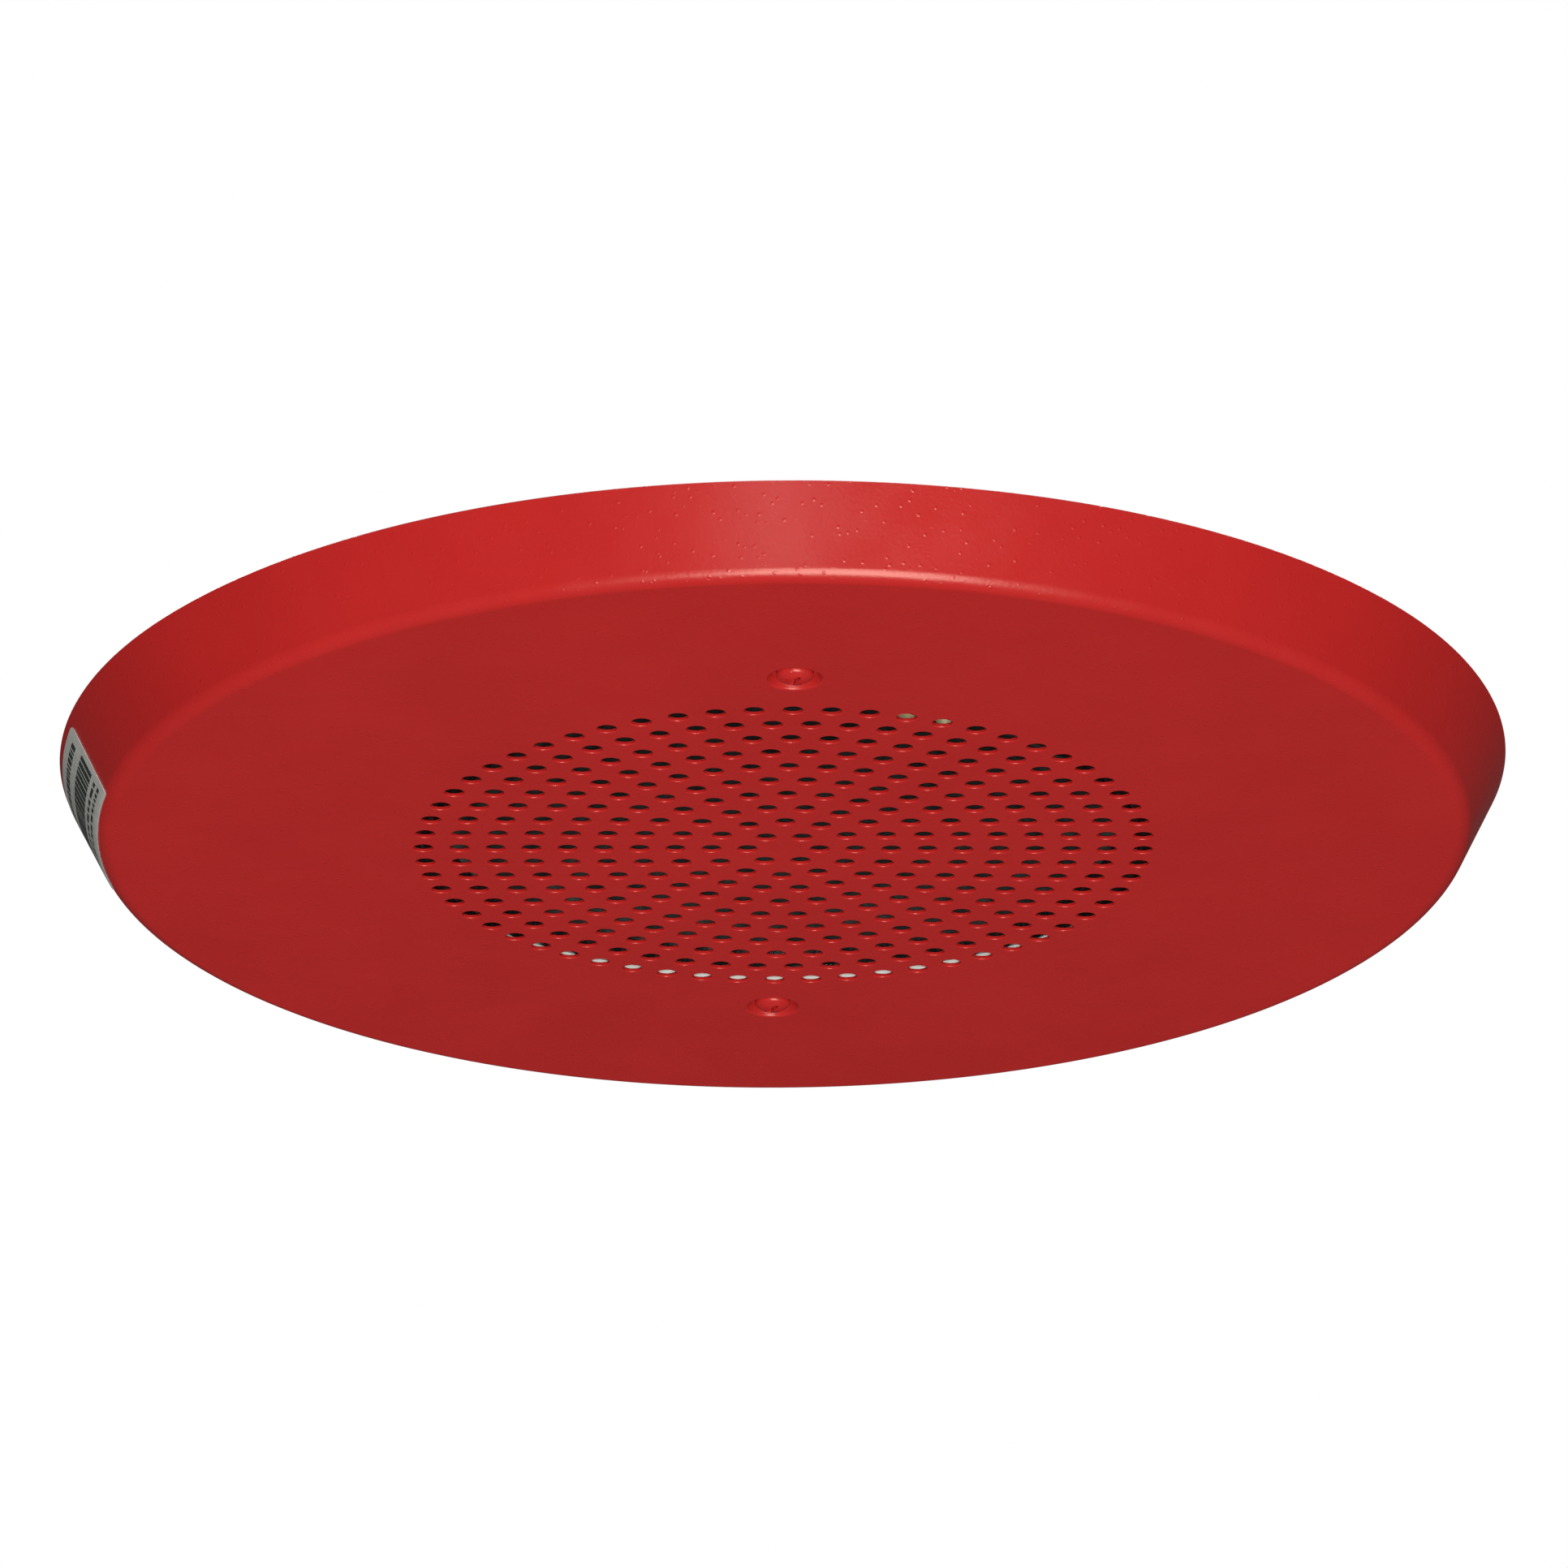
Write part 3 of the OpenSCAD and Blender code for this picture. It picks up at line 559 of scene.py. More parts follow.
def pressed_paper(name, colour, paler, rough=0.85, fibre=900, depth=0.03):
    """Pulp: short fibres lying every way, with clots and a soft nap."""
    look = Look(name, colour, rough)
    fibres = look.noise(fibre, 6, 0.7)
    clots = look.noise(fibre * 0.16, 3)
    nap = look.ramp(look.math("MULTIPLY", fibres, clots), (0.14, 0.0), (0.36, 1.0))
    look.colour(look.mix(nap, colour, paler))
    look.relief(fibres, depth)
    look.relief(clots, depth * 2)
    return look


def insulated(name, colour):
    look = moulded(name, colour, 0.38, 1500, 0.004)
    look.put("Specular IOR Level", 0.45)
    return look


def chipboard_look():
    look = pressed_paper("chipboard", (0.84, 0.8, 0.72), (0.92, 0.9, 0.84), 0.9, 700, 0.03)
    look.relief(look.noise(260, 4, coords=look.stretched(1, 1, 9)), 0.05)
    return look


def galvanised_look():
    look = Look("galvanised_steel", (0.66, 0.68, 0.69), 0.4, 1.0)
    spangle = look.cells(240, "Color")
    grey = look.node("ShaderNodeRGBToBW", {"Color": spangle}).outputs[0]
    look.colour(look.ramp(grey, (0.2, (0.6, 0.62, 0.64)), (0.8, (0.7, 0.72, 0.73))))
    look.put("Roughness", look.ramp(grey, (0.2, 0.42), (0.8, 0.6)))
    look.relief(look.noise(1200, 3), 0.012)
    return look


def ferrite_look():
    look = Look("ferrite", (0.045, 0.045, 0.05), 0.5)
    grain = look.noise(1800, 4, 0.6)
    look.colour(look.ramp(grain, (0.3, (0.035, 0.035, 0.04)), (0.62, (0.075, 0.075, 0.082))))
    look.gloss(300, 3, 0.38, 0.62)
    look.relief(grain, 0.012)
    look.relief(look.noise(900, 2, coords=look.stretched(1, 12, 1, 20)), 0.01)
    return look


def lamination_look():
    look = Look("lamination_steel", (0.16, 0.16, 0.175), 0.42, 0.85)
    rust = look.noise(420, 5, 0.65)
    look.colour(look.ramp(rust, (0.3, (0.1, 0.1, 0.115)), (0.55, (0.2, 0.2, 0.21)), (0.74, (0.2, 0.13, 0.085))))
    look.relief(look.noise(1500, 3), 0.01)
    return look


def phenolic_look():
    look = Look("phenolic_board", (0.3, 0.16, 0.07), 0.5)
    weave = look.noise(700, 4, 0.6)
    look.colour(look.ramp(weave, (0.3, (0.22, 0.11, 0.045)), (0.7, (0.36, 0.2, 0.09))))
    look.relief(weave, 0.015)
    return look


def winding_look(name, colour, pitch_mm):
    """Enamelled wire, wound side by side up the coil."""
    look = Look(name, colour, 0.3, 0.9)
    turns = look.wave(0.157 / (pitch_mm * MM), "Z")
    look.colour(look.mix(turns, tuple(c * 0.5 for c in colour), colour))
    look.relief(turns, 0.05)
    look.gloss(400, 3, 0.24, 0.42)
    return look


def solder_mask_look():
    look = Look("board_laminate", (0.02, 0.16, 0.06), 0.32)
    weave = look.math("MULTIPLY", look.wave(620, "X", 0.3), look.wave(620, "Y", 0.3))
    look.colour(look.mix(look.ramp(weave, (0.1, 0.0), (0.7, 1.0)), (0.018, 0.145, 0.052), (0.026, 0.18, 0.07)))
    look.gloss(300, 3, 0.26, 0.4)
    look.relief(weave, 0.004)
    return look


def mottled(name, colour, rough, metal, patches, gloss, bumps):
    """Patches of two colours, drifting gloss and soft bumps. Each comes from a noise of its own scale."""
    look = Look(name, colour, rough, metal)
    scale, detail, first, second = patches
    look.colour(look.ramp(look.noise(scale, detail), (0.3, first), (0.7, second)))
    look.gloss(*gloss)
    look.relief(look.noise(bumps[0], 2), bumps[1])
    return look


def braid_look():
    look = Look("tinsel_braid", (0.7, 0.4, 0.2), 0.35, 0.9)
    look.colour(look.ramp(look.noise(1800, 3), (0.35, (0.42, 0.2, 0.09)), (0.6, (0.78, 0.5, 0.28))))
    look.relief(look.noise(2600, 2), 0.03)
    return look


LOOKS = {made.name: made.material for made in (
    red_paint("red_powder_coat", 0.27, 0.85, 0.03),
    red_paint("red_screw_paint", 0.25, 0.6, 0.01),
    mottled("label_film", (0.42, 0.42, 0.39), 0.42, 0.0, (300, 4, (0.39, 0.39, 0.36), (0.45, 0.45, 0.42)),
            (90, 3, 0.36, 0.5), (500, 0.01)),
    moulded("label_ink", (0.025, 0.032, 0.027), 0.45),
    plated("zinc_hardware", (0.62, 0.63, 0.62), 0.3),
    chipboard_look(),
    moulded("basket_paint", (0.032, 0.033, 0.036), 0.36, 1100, 0.02),
    woven("treated_cloth", (0.018, 0.017, 0.017), (0.008, 0.008, 0.008), 0.3, 0.55, 0.05,
          Coat_Weight=1.0, Coat_Roughness=0.14, Coat_IOR=1.7),
    pressed_paper("cone_paper", (0.016, 0.015, 0.014), (0.05, 0.047, 0.043)),
    pressed_paper("cap_felt", (0.012, 0.012, 0.012), (0.035, 0.034, 0.033), 0.8, 1300),
    pressed_paper("kraft_former", (0.36, 0.24, 0.12), (0.5, 0.36, 0.2), 0.7, 800, 0.012),
    winding_look("enamelled_wire", (0.62, 0.22, 0.08), 0.4),
    woven("spider_cloth", (0.62, 0.4, 0.13), (0.3, 0.17, 0.05), 0.62, 0.7, 0.1),
    mottled("dried_glue", (0.78, 0.68, 0.36), 0.24, 0.0, (260, 3, (0.7, 0.56, 0.24), (0.86, 0.79, 0.5)),
            (400, 2, 0.16, 0.36), (500, 0.06)),
    plated("plated_iron", (0.62, 0.63, 0.62), 0.34, turned=True),
    ferrite_look(),
    phenolic_look(),
    plated("tinned_brass", (0.72, 0.66, 0.45), 0.3),
    braid_look(),
    galvanised_look(),
    lamination_look(),
    moulded("nylon_bobbin", (0.72, 0.68, 0.55), 0.5, 1200, 0.01),
    moulded("winding_tape", (0.72, 0.5, 0.06), 0.24, 500, 0.03),
    moulded("grommet_rubber", (0.02, 0.02, 0.02), 0.7, 1600, 0.02),
    solder_mask_look(),
    plated("turned_brass", (0.78, 0.56, 0.24), 0.28),
    moulded("block_plastic", (0.03, 0.26, 0.09)),
    moulded("switch_plastic", (0.035, 0.1, 0.38), 0.4),
    moulded("knob_plastic", (0.8, 0.8, 0.76), 0.4),
    moulded("black_plastic", (0.022, 0.022, 0.024), 0.42),
    moulded("capacitor_sleeve", (0.02, 0.035, 0.2), 0.22, 500, 0.006),
    moulded("capacitor_stripe", (0.55, 0.57, 0.6), 0.3, 500, 0.006),
    moulded("board_ink", (0.75, 0.76, 0.72), 0.6),
    moulded("mask_over_copper", (0.04, 0.26, 0.1), 0.3, 900, 0.004),
    plated("tinned_wire", (0.7, 0.7, 0.69), 0.25),
    mottled("solder", (0.62, 0.63, 0.64), 0.26, 1.0, (900, 3, (0.5, 0.51, 0.53), (0.7, 0.71, 0.72)),
            (700, 3, 0.18, 0.42), (1200, 0.02)),
)}
WIRE_COLOURS = {"black": (0.012, 0.012, 0.012), "brown": (0.13, 0.045, 0.018), "red": (0.5, 0.02, 0.015),
                "orange": (0.72, 0.2, 0.02), "yellow": (0.75, 0.55, 0.04), "white": (0.75, 0.74, 0.7)}
LOOKS.update({name + "_wire": insulated("insulation_" + name, colour).material
              for name, colour in WIRE_COLOURS.items()})


# ---- Baffle ----

def hole_centres():
    """Concentric rings: ring n holds 6n holes, the first of them on +X."""
    for ring in range(1, ring_count + 1):
        for k in range(6 * ring):
            turn = math.radians(60 * k / ring)
            yield ring * ring_pitch * math.cos(turn), ring * ring_pitch * math.sin(turn)


def wall_profile():
    """The bend, the flared wall and the cut rim, from the face round to the back of the sheet."""
    lean = math.degrees(wall_lean)
    bend = (face_r, bend_z)
    lip = 0.22
    rim = rounded([arc(bend, bend_r, -90, -lean, 12)[-1], (rim_r, 0, lip),
                   (rim_r - sheet_t / math.cos(wall_lean), 0, lip),
                   arc(bend, bend_r - sheet_t, -lean, -90, 9)[0]], 3, closed=False)
    return (arc(bend, bend_r, -90, -lean, 12) + rim[1:-1]
            + arc(bend, bend_r - sheet_t, -lean, -90, 9))


def hole_profile():
    """Punched hole: the painted edge is rounded in front and almost sharp behind."""
    lip = 0.32
    front = arc((hole_r + lip, face_z + lip), lip, -90, -180, 4)
    return front + [(hole_r, plate_z - 0.12), (hole_r + 0.12, plate_z)]


def dimple_profile():
    """Pressed cup with a seat for the screw head."""
    floor_r = dimple_r - 1.2
    front = rounded([(dimple_r + 0.9, face_z), (dimple_r, face_z, 0.8), (floor_r, seat_z, 0.7),
                     (screw_hole_r, seat_z, 0.15), (screw_hole_r, seat_z + sheet_t, 0.1),
                     (floor_r + 0.3, seat_z + sheet_t, 0.5), (dimple_r + 0.5, plate_z, 0.5),
                     (dimple_r + 1.4, plate_z)], 4, closed=False)
    return front


def baffle_shape():
    """A sheet whose face is triangulated round every hole, and closed by each hole's own wall."""
    loops = [((0, 0), 288, wall_profile())]
    loops += [(spot, 32, hole_profile()) for spot in hole_centres()]
    for a in screw_angles:
        spot = (bolt_r * math.cos(math.radians(a)), bolt_r * math.sin(math.radians(a)))
        loops.append((spot, 64, dimple_profile()))
    points, faces, flat, edges = [], [], [], []
    fronts, backs, owner = [], [], []
    for number, (centre, count, profile) in enumerate(loops):
        rings = []
        for r, z in profile:
            rings.append(list(range(len(points), len(points) + count)))
            points += [(centre[0] + r * math.cos(2 * math.pi * k / count),
                        centre[1] + r * math.sin(2 * math.pi * k / count), z) for k in range(count)]
        for ring, after in zip(rings, rings[1:]):
            faces += [(ring[k], ring[(k + 1) % count], after[(k + 1) % count], after[k])
                      for k in range(count)]
        start = len(fronts)
        edges += [(start + k, start + (k + 1) % count) for k in range(count)]
        fronts += rings[0]
        backs += rings[-1]
        owner += [number] * count
        flat += [Vector(points[i][:2]) for i in rings[0]]
    _, _, triangles, origins, _, _ = geometry.delaunay_2d_cdt(flat, edges, [], 0, 1e-5)
    for triangle in triangles:
        corners = [origins[v][0] for v in triangle]
        owners = {owner[c] for c in corners}
        if len(owners) == 1 and 0 not in owners:
            continue
        faces.append([fronts[c] for c in corners])
        faces.append([backs[c] for c in corners][::-1])
    return points, faces


piece("baffle_sheet", baffle_shape(), "red_powder_coat", ["baffle"])

# ---- Label on the wall ----

wall_foot = np.array((face_r + bend_r * math.cos(wall_lean), bend_z - bend_r * math.sin(wall_lean)))
wall_up = np.array((math.sin(wall_lean), math.cos(wall_lean)))
wall_out = np.array((math.cos(wall_lean), -math.sin(wall_lean)))
wall_l = -wall_foot[1] / wall_up[1]
label_wrap = 18
label_low, label_high = -bend_r * math.radians(label_wrap), 0.88 * wall_l
label_half = 11.0
label_glue, label_film_t = 0.04, 0.15


def on_wall(across, up, lift):
    """Point on the wall: across and up in millimetres from the label's middle and the wall's foot.
    Below the foot it follows the bend."""
    if up < 0:
        turn = -wall_lean + up / bend_r
        r, z = face_r + (bend_r + lift) * math.cos(turn), bend_z + (bend_r + lift) * math.sin(turn)
    else:
        r, z = wall_foot + wall_up * up + wall_out * lift
    middle_r = wall_foot[0] + wall_up[0] * (label_low + label_high) / 2
    turn = math.pi + across / middle_r
    return r * math.cos(turn), r * math.sin(turn), z


def wall_patch(left, right, bottom, top, lift, thick, corner=0.0, columns=24):
    """Thin sheet on the wall, with rounded corners."""
    turns = [math.radians(90 * k / 5) for k in range(6)]
    ends = [(corner * (1 - math.sin(a)), corner * (1 - math.cos(a))) for a in turns]
    rows = [(bottom + rise, inset) for inset, rise in ends]
    rows += [(bottom + (top - bottom) * k / 6, 0.0) for k in range(1, 6)] if bottom < 0 else []
    rows += [(top - rise, inset) for inset, rise in reversed(ends)]
    if not corner:
        rows = [(bottom, 0.0), ((bottom + top) / 2, 0.0), (top, 0.0)]
    points, faces = [], []
    width = columns + 1
    for level in (lift, lift + thick):
        for up, inset in rows:
            for k in range(width):
                across = left + inset + (right - left - 2 * inset) * k / columns
                points.append(on_wall(across, up, level))
    layer = len(rows) * width
    for i in range(len(rows) - 1):
        for k in range(columns):
            a = i * width + k
            quad = (a, a + 1, a + width + 1, a + width)
            faces += [quad[::-1], tuple(layer + v for v in quad)]
    border = list(range(width)) + [i * width + columns for i in range(1, len(rows))]
    border += [(len(rows) - 1) * width + k for k in range(columns - 1, -1, -1)]
    border += [i * width for i in range(len(rows) - 2, 0, -1)]
    for a, b in zip(border, border[1:] + border[:1]):
        faces.append((a, b, layer + b, layer + a))
    return points, faces


def label_marks():
    """Rows of plain bars where a rating plate has its lines of print."""
    draw = random.Random(7)
    print_lift, print_t = label_glue + label_film_t, 0.02
    height = label_high - label_low
    half = math.radians(label_half) * (wall_foot[0] + wall_up[0] * (label_low + label_high) / 2)
    # Each row: height of its foot, thickness, shortest and longest bar, gap
    rows = [(0.78, 0.1, 1.0, 3.4, 0.6), (0.34, 0.3, 1.2, 3.2, 0.4), (0.22, 0.05, 1.5, 5.5, 0.9),
            (0.12, 0.05, 1.2, 4.5, 0.9)]
    marks = []
    for level, tall, short, long, gap in rows:
        across = -half + 3
        while across < half - 5:
            wide = draw.uniform(short, long)
            end = min(across + wide, half - 3)
            foot = label_low + height * level
            marks.append(wall_patch(across, end, foot, foot + height * tall, print_lift, print_t, columns=3))
            across = end + draw.uniform(gap, gap * 1.8)
    return joined(marks), half


label_bars, label_reach = label_marks()
piece("rating_label_film",
      wall_patch(-label_reach, label_reach, label_low, label_high, label_glue, label_film_t, 1.5, 60),
      "label_film", ["rating_label"])
piece("rating_label_bars", label_bars, "label_film", look="label_ink")


# ---- Screws, studs and nuts ----

def screw_parts(head_r, head_h, grip_r, grip_l, thread_r, length, pitch=coarse_pitch):
    """Pan head with a cross recess, and its threaded shank. The head stands on z = 0, facing up."""
    outline = rounded([(0, head_h), (head_r * 0.55, head_h * 0.985), (head_r * 0.99, head_h * 0.62, head_h * 0.45),
                       (head_r, 0.02, 0.12), (grip_r, 0, 0.05), (grip_r, -grip_l, 0.1), (0, -grip_l)], 4, False)
    wing = rounded([(-head_r * 0.6, head_h * 1.1), (head_r * 0.6, head_h * 1.1), (head_r * 0.44, head_h * 0.55),
                    (head_r * 0.1, head_h * 0.3), (-head_r * 0.1, head_h * 0.3), (-head_r * 0.44, head_h * 0.55)])
    blade = upright(prism(wing, -head_r * 0.12, head_r * 0.12))
    head = carved(revolve(outline, 48), [blade, at(blade, turn=90)])
    return head, upside_down(thread(thread_r, pitch, grip_l - 0.02, length))


def pan_screw(*sizes):
    return joined(screw_parts(*sizes))


def upright(shape):
    """Turns a shape drawn in (x, y) so that it stands in (y, z), extruded along x."""
    return placed(shape, Matrix(((0, 0, 1, 0), (1, 0, 0, 0), (0, 1, 0, 0), (0, 0, 0, 1))))


def upside_down(shape):
    return placed(shape, Matrix.Rotation(math.pi, 4, "X"))


mount_head_h = 2.7
mount_grip = 4.4
mount_l = high("mounting_screws")[2] - seat_z
mount_parts = screw_parts(4.1, mount_head_h, 1.85, mount_grip, screw_r, mount_l)
for part_name, shape, look in zip(("heads", "shanks"), mount_parts, ("red_screw_paint", "zinc_hardware")):
    pair = round_the_axis(at(upside_down(shape), z=seat_z, turn=22), bolt_r, screw_angles)
    piece("mounting_screw_" + part_name, pair, "red_screw_paint", ["mounting_screws"], look=look)

stud_r, stud_foot_r, stud_foot_t = 1.75, 3, 0.6
stud_top = high("weld_studs")[2]
stud_foot_z = plate_z + stud_foot_t
stud_base = lathed([(0, plate_z), (stud_foot_r, plate_z), (stud_foot_r, stud_foot_z, 0.3),
                    (stud_r, stud_foot_z, 0.5), (stud_r, plate_z + 2.5), (0, plate_z + 2.5)], 40, 3)
stud = joined([stud_base, thread(stud_r, coarse_pitch, plate_z + 2.4, stud_top)])
piece("weld_stud_set", round_the_axis(stud, bolt_r, stud_angles), "zinc_hardware", ["weld_studs"])

washer_r = 4.9
washer_top = high("stud_washers")[2]
washer = revolve(rounded([(washer_r, flange_back_z, 0.12), (washer_r, washer_top, 0.25),
                          (stud_r + 0.2, washer_top, 0.15), (stud_r + 0.2, flange_back_z, 0.1)], 3), 48)
piece("stud_washer_set", round_the_axis(washer, bolt_r, stud_angles), "zinc_hardware", ["stud_washers"])
stud_nut = hexagon_nut(4.6, stud_r + 0.02, washer_top, high("stud_nuts")[2] - washer_top)
piece("stud_nut_set", round_the_axis(stud_nut, bolt_r, stud_angles), "zinc_hardware", ["stud_nuts"])


# ---- Pieces whose CAD shape is right: they only get soft edges and a finish ----

CAD_SHAPED = [
    ("gasket_ring", "front_gasket", "chipboard", 0.25),
    ("terminal_board", "terminal_strip", "phenolic_board", 0.15),
    ("terminal_tags", "terminal_lugs", "tinned_brass", 0.1),
    ("terminal_rivet", "strip_rivet", "zinc_hardware", 0.3),
    ("rear_bracket_plate", "rear_bracket", "galvanised_steel", 0.3),
    ("core_clamp", "transformer_clamp", "galvanised_steel", 0.22),
    ("cable_grommet", "bracket_grommet", "grommet_rubber", 0.35),
    ("board_panel", "circuit_board", "board_laminate", 0.12),
    ("terminal_housing", "terminal_block", "block_plastic", 0.25),
    ("clamp_cages", "wire_clamps", "zinc_hardware", 0.1),
    ("tap_switch_case", "tap_switch_body", "switch_plastic", 0.2),
    ("tap_knob", "tap_selector_knob", "knob_plastic", 0.18, "tap_selector"),
    ("voltage_switch_case", "voltage_switch_body", "black_plastic", 0.2),
    ("voltage_slider", "voltage_switch_slider", "knob_plastic", 0.22, "voltage_selector")]
for name, node, slot, bevel, *mover in CAD_SHAPED:
    piece(name, cad_shape(node), slot, [node], *mover, bevel=bevel)


# ---- Driver: basket and motor ----

basket_r = high("basket")[0]
basket_t = 0.9
flange_in_r = 83.0
rivet_circle_r = 24.0
shelf_z = 17.5
shelf_r = 45.0
cup_r = 36.5
flange_t = 1.0
top_plate_z = low("top_plate")[2]
cup_z = top_plate_z - flange_t
wall_top = np.array((79, flange_z + 6.5))
wall_end = np.array((shelf_r, shelf_z))


def divided(outline, step):
    """The outline with extra points, so that no edge is longer than step."""
    line = []
    for here, after in zip(outline, outline[1:] + outline[:1]):
        here, after = np.array(here), np.array(after)
        parts = max(1, math.ceil(np.linalg.norm(after - here) / step))
        line += [tuple(here + (after - here) * k / parts) for k in range(parts)]
    return line


def smoothstep(t):
    t = max(0.0, min(1.0, t))
    return t * t * (3 - 2 * t)


def leg_rib(turn, r, z):
    """Presses a stiffening rib into each leg but the one that carries the terminals."""
    rib_half_w, rib_depth = 3.4, 0.9
    slant = (wall_end - wall_top) / np.linalg.norm(wall_end - wall_top)
    into = np.array((-slant[1], slant[0])) * (1 if slant[0] < 0 else -1)
    into = -into if into[1] > 0 else into
    along = (r - 48) / (wall_top[0] - 51)
    if not 0 < along < 1:
        return r, z
    degrees = math.degrees(turn)
    gap = min(abs((degrees - a + 180) % 360 - 180) for a in stud_angles if a != strip_angle)
    side = smoothstep(1.6 - gap * math.radians(1) * r / rib_half_w)
    ends = smoothstep(min(along, 1 - along) * 7)
    r, z = np.array((r, z)) + into * rib_depth * side * ends
    return r, z


def basket_shape():
    bore = 14.9
    outline = rounded([
        (basket_r, flange_z, 0.5), (flange_in_r, flange_z, 1.0), (*wall_top, 2.0), (shelf_r, shelf_z, 1.6),
        (cup_r, shelf_z, 1.2), (cup_r - 1, cup_z, 1.4), (bore, cup_z, 0.2), (bore, top_plate_z, 0.2),
        (cup_r - 0.2, top_plate_z, 0.6), (cup_r + 0.9, shelf_z + flange_t, 0.5),
        (shelf_r + 0.5, shelf_z + flange_t, 1.6), (wall_top[0] + basket_t, flange_z + 7, 2.4),
        (flange_in_r + basket_t, flange_back_z, 0.8),
        (basket_r - 0.8, flange_back_z, 0.3), (basket_r - 0.8, flange_z + 3.5, 0.25),
        (basket_r, flange_z + 3.5, 0.25)], 4)
    shell = revolve(divided(outline, 3.0), 288, leg_rib)
    window_low, window_high = flange_z + 8.5, shelf_z - 2.5
    tall = window_high - window_low
    slope = 95 * math.sin(math.radians(33)) / (95 * math.cos(math.radians(33)) - 18)
    sections = [block((tall, 2 * slope * (x - 18)), corner, 5) for x, corner in ((34, 1.5), (112, 6.5))]
    wedge = placed(loft(sections, [34, 112]),
                   Matrix(((0, 0, 1, 0), (0, 1, 0, 0), (1, 0, 0, (window_low + window_high) / 2), (0, 0, 0, 1))))
    slot = prism(block((8, 5.6), 2.79, 8), flange_z - 1, flange_back_z + 1)
    cutters = [at(wedge, turn=a) for a in (0, 90, 180, 270)]
    cutters += [round_the_axis(slot, bolt_r, [45 * k for k in range(8)])]
    return carved(shell, cutters)


piece("basket_frame", basket_shape(), "basket_paint", ["basket"], bevel=0.12)

rivet_head_z = low("basket_rivets")[2]
rivet = lathed([(0, rivet_head_z), (2.4, rivet_head_z, 0.8), (3.6, cup_z, 0.2), (2, cup_z),
                (2, high("basket_rivets")[2] - 0.05), (0, high("basket_rivets")[2] - 0.05)], 40)
piece("basket_rivet_set", round_the_axis(rivet, rivet_circle_r, stud_angles), "zinc_hardware", ["basket_rivets"])


def plate_ring(outer_r, inner_r, z0, z1, edge=0.4, steps=128):
    return revolve(rounded([(outer_r, z0, edge), (outer_r, z1, edge), (inner_r, z1, edge * 0.6),
                            (inner_r, z0, edge * 0.6)], 3), steps)


gap_r = 13.9
magnet_r = high("magnet")[0]
plate_r = high("top_plate")[0]
piece("front_pole_plate", plate_ring(plate_r, gap_r, top_plate_z, high("top_plate")[2]), "plated_iron", ["top_plate"])
piece("magnet_ring", plate_ring(magnet_r, 16, low("magnet")[2], high("magnet")[2], 0.8), "ferrite", ["magnet"])
yoke_low, yoke_top, yoke_plate_z = low("yoke")[2], high("yoke")[2], high("magnet")[2]
pole_r = 12.2
pole = lathed([(0, yoke_low + 1.2), (4.5, yoke_low + 0.8, 1.0), (5.5, yoke_low, 0.4), (pole_r, yoke_low, 0.6),
               (pole_r, yoke_plate_z, 0.2), (plate_r, yoke_plate_z, 0.5), (plate_r, yoke_top, 0.8),
               (4.2, yoke_top, 0.3), (3.6, yoke_top - 0.7, 0.3), (0, yoke_top - 0.7)], 128)
piece("yoke_and_pole", pole, "plated_iron", ["yoke"])


# ---- Driver: what moves, and the cloth that joins it to the basket ----

cone_r = high("cone")[0]
cone_edge_z = low("cone")[2]
neck_z = 14.0
coil_r = 12.95
paper_t = 0.7
cone_slope = (neck_z - cone_edge_z) / (cone_r - coil_r)


def cone_front(r):
    return neck_z - (r - coil_r) * cone_slope


def cone_shape():
    """Straight paper cone with four shallow rings pressed into it."""
    rings = (34, 43, 52, 61)
    samples = np.linspace(cone_r, coil_r, 120)
    ridge = [0.38 * sum(math.exp(-((r - at_r) / 1.0) ** 2) for at_r in rings) for r in samples]
    front = [(r, cone_front(r) + h) for r, h in zip(samples, ridge)]
    back = [(r, z + paper_t) for r, z in front]
    return revolve(front + back[::-1], 144)


piece("paper_cone", cone_shape(), "cone_paper", ["cone"], CONE)

cap_r = high("dust_cap")[0]
cap_low = low("dust_cap")[2]
cap_rise = cone_front(cap_r) - cap_low
felt_t = 0.5
dome_r = (cap_r ** 2 + cap_rise ** 2) / (2 * cap_rise)
dome_end = math.degrees(math.asin(cap_r / dome_r))
dome = arc((0, cap_low + dome_r), dome_r, -90, -90 + dome_end, 14)
under = arc((0, cap_low + dome_r), dome_r - felt_t, -90 + dome_end - 2, -90, 12)
dome[0] = (0, dome[0][1])
under[-1] = (0, under[-1][1])
skirt = [(cap_r + 1.1, cone_front(cap_r + 1.1) - 0.02), (cap_r + 1.1, cone_front(cap_r + 1.1) + 0.2),
         (cap_r - 0.6, cone_front(cap_r - 0.6) + 0.1)]
piece("dust_cap_dome", revolve(dome + skirt + under, 96), "cap_felt", ["dust_cap"], CONE)

former_low, former_high = low("voice_coil_former")[2], high("voice_coil_former")[2]
piece("coil_former", plate_ring(coil_r, coil_r - 0.25, former_low, former_high, 0.06, 96), "kraft_former",
      ["voice_coil_former"], CONE)


def winding_shape():
    """Two layers of round wire, seen as a ribbed sleeve."""
    start, end = low("voice_coil_winding")[2], high("voice_coil_winding")[2]
    turns = 20
    wire_r = (end - start) / turns / 2
    outline = [(coil_r + 0.02, end), (coil_r + 0.02, start)]
    for k in range(turns):
        centre = (coil_r + 0.45 - wire_r, start + wire_r * (2 * k + 1))
        outline += arc(centre, wire_r, -80, 80, 4)
    return revolve(outline, 96)


piece("coil_winding", winding_shape(), "enamelled_wire", ["voice_coil_winding"], CONE)


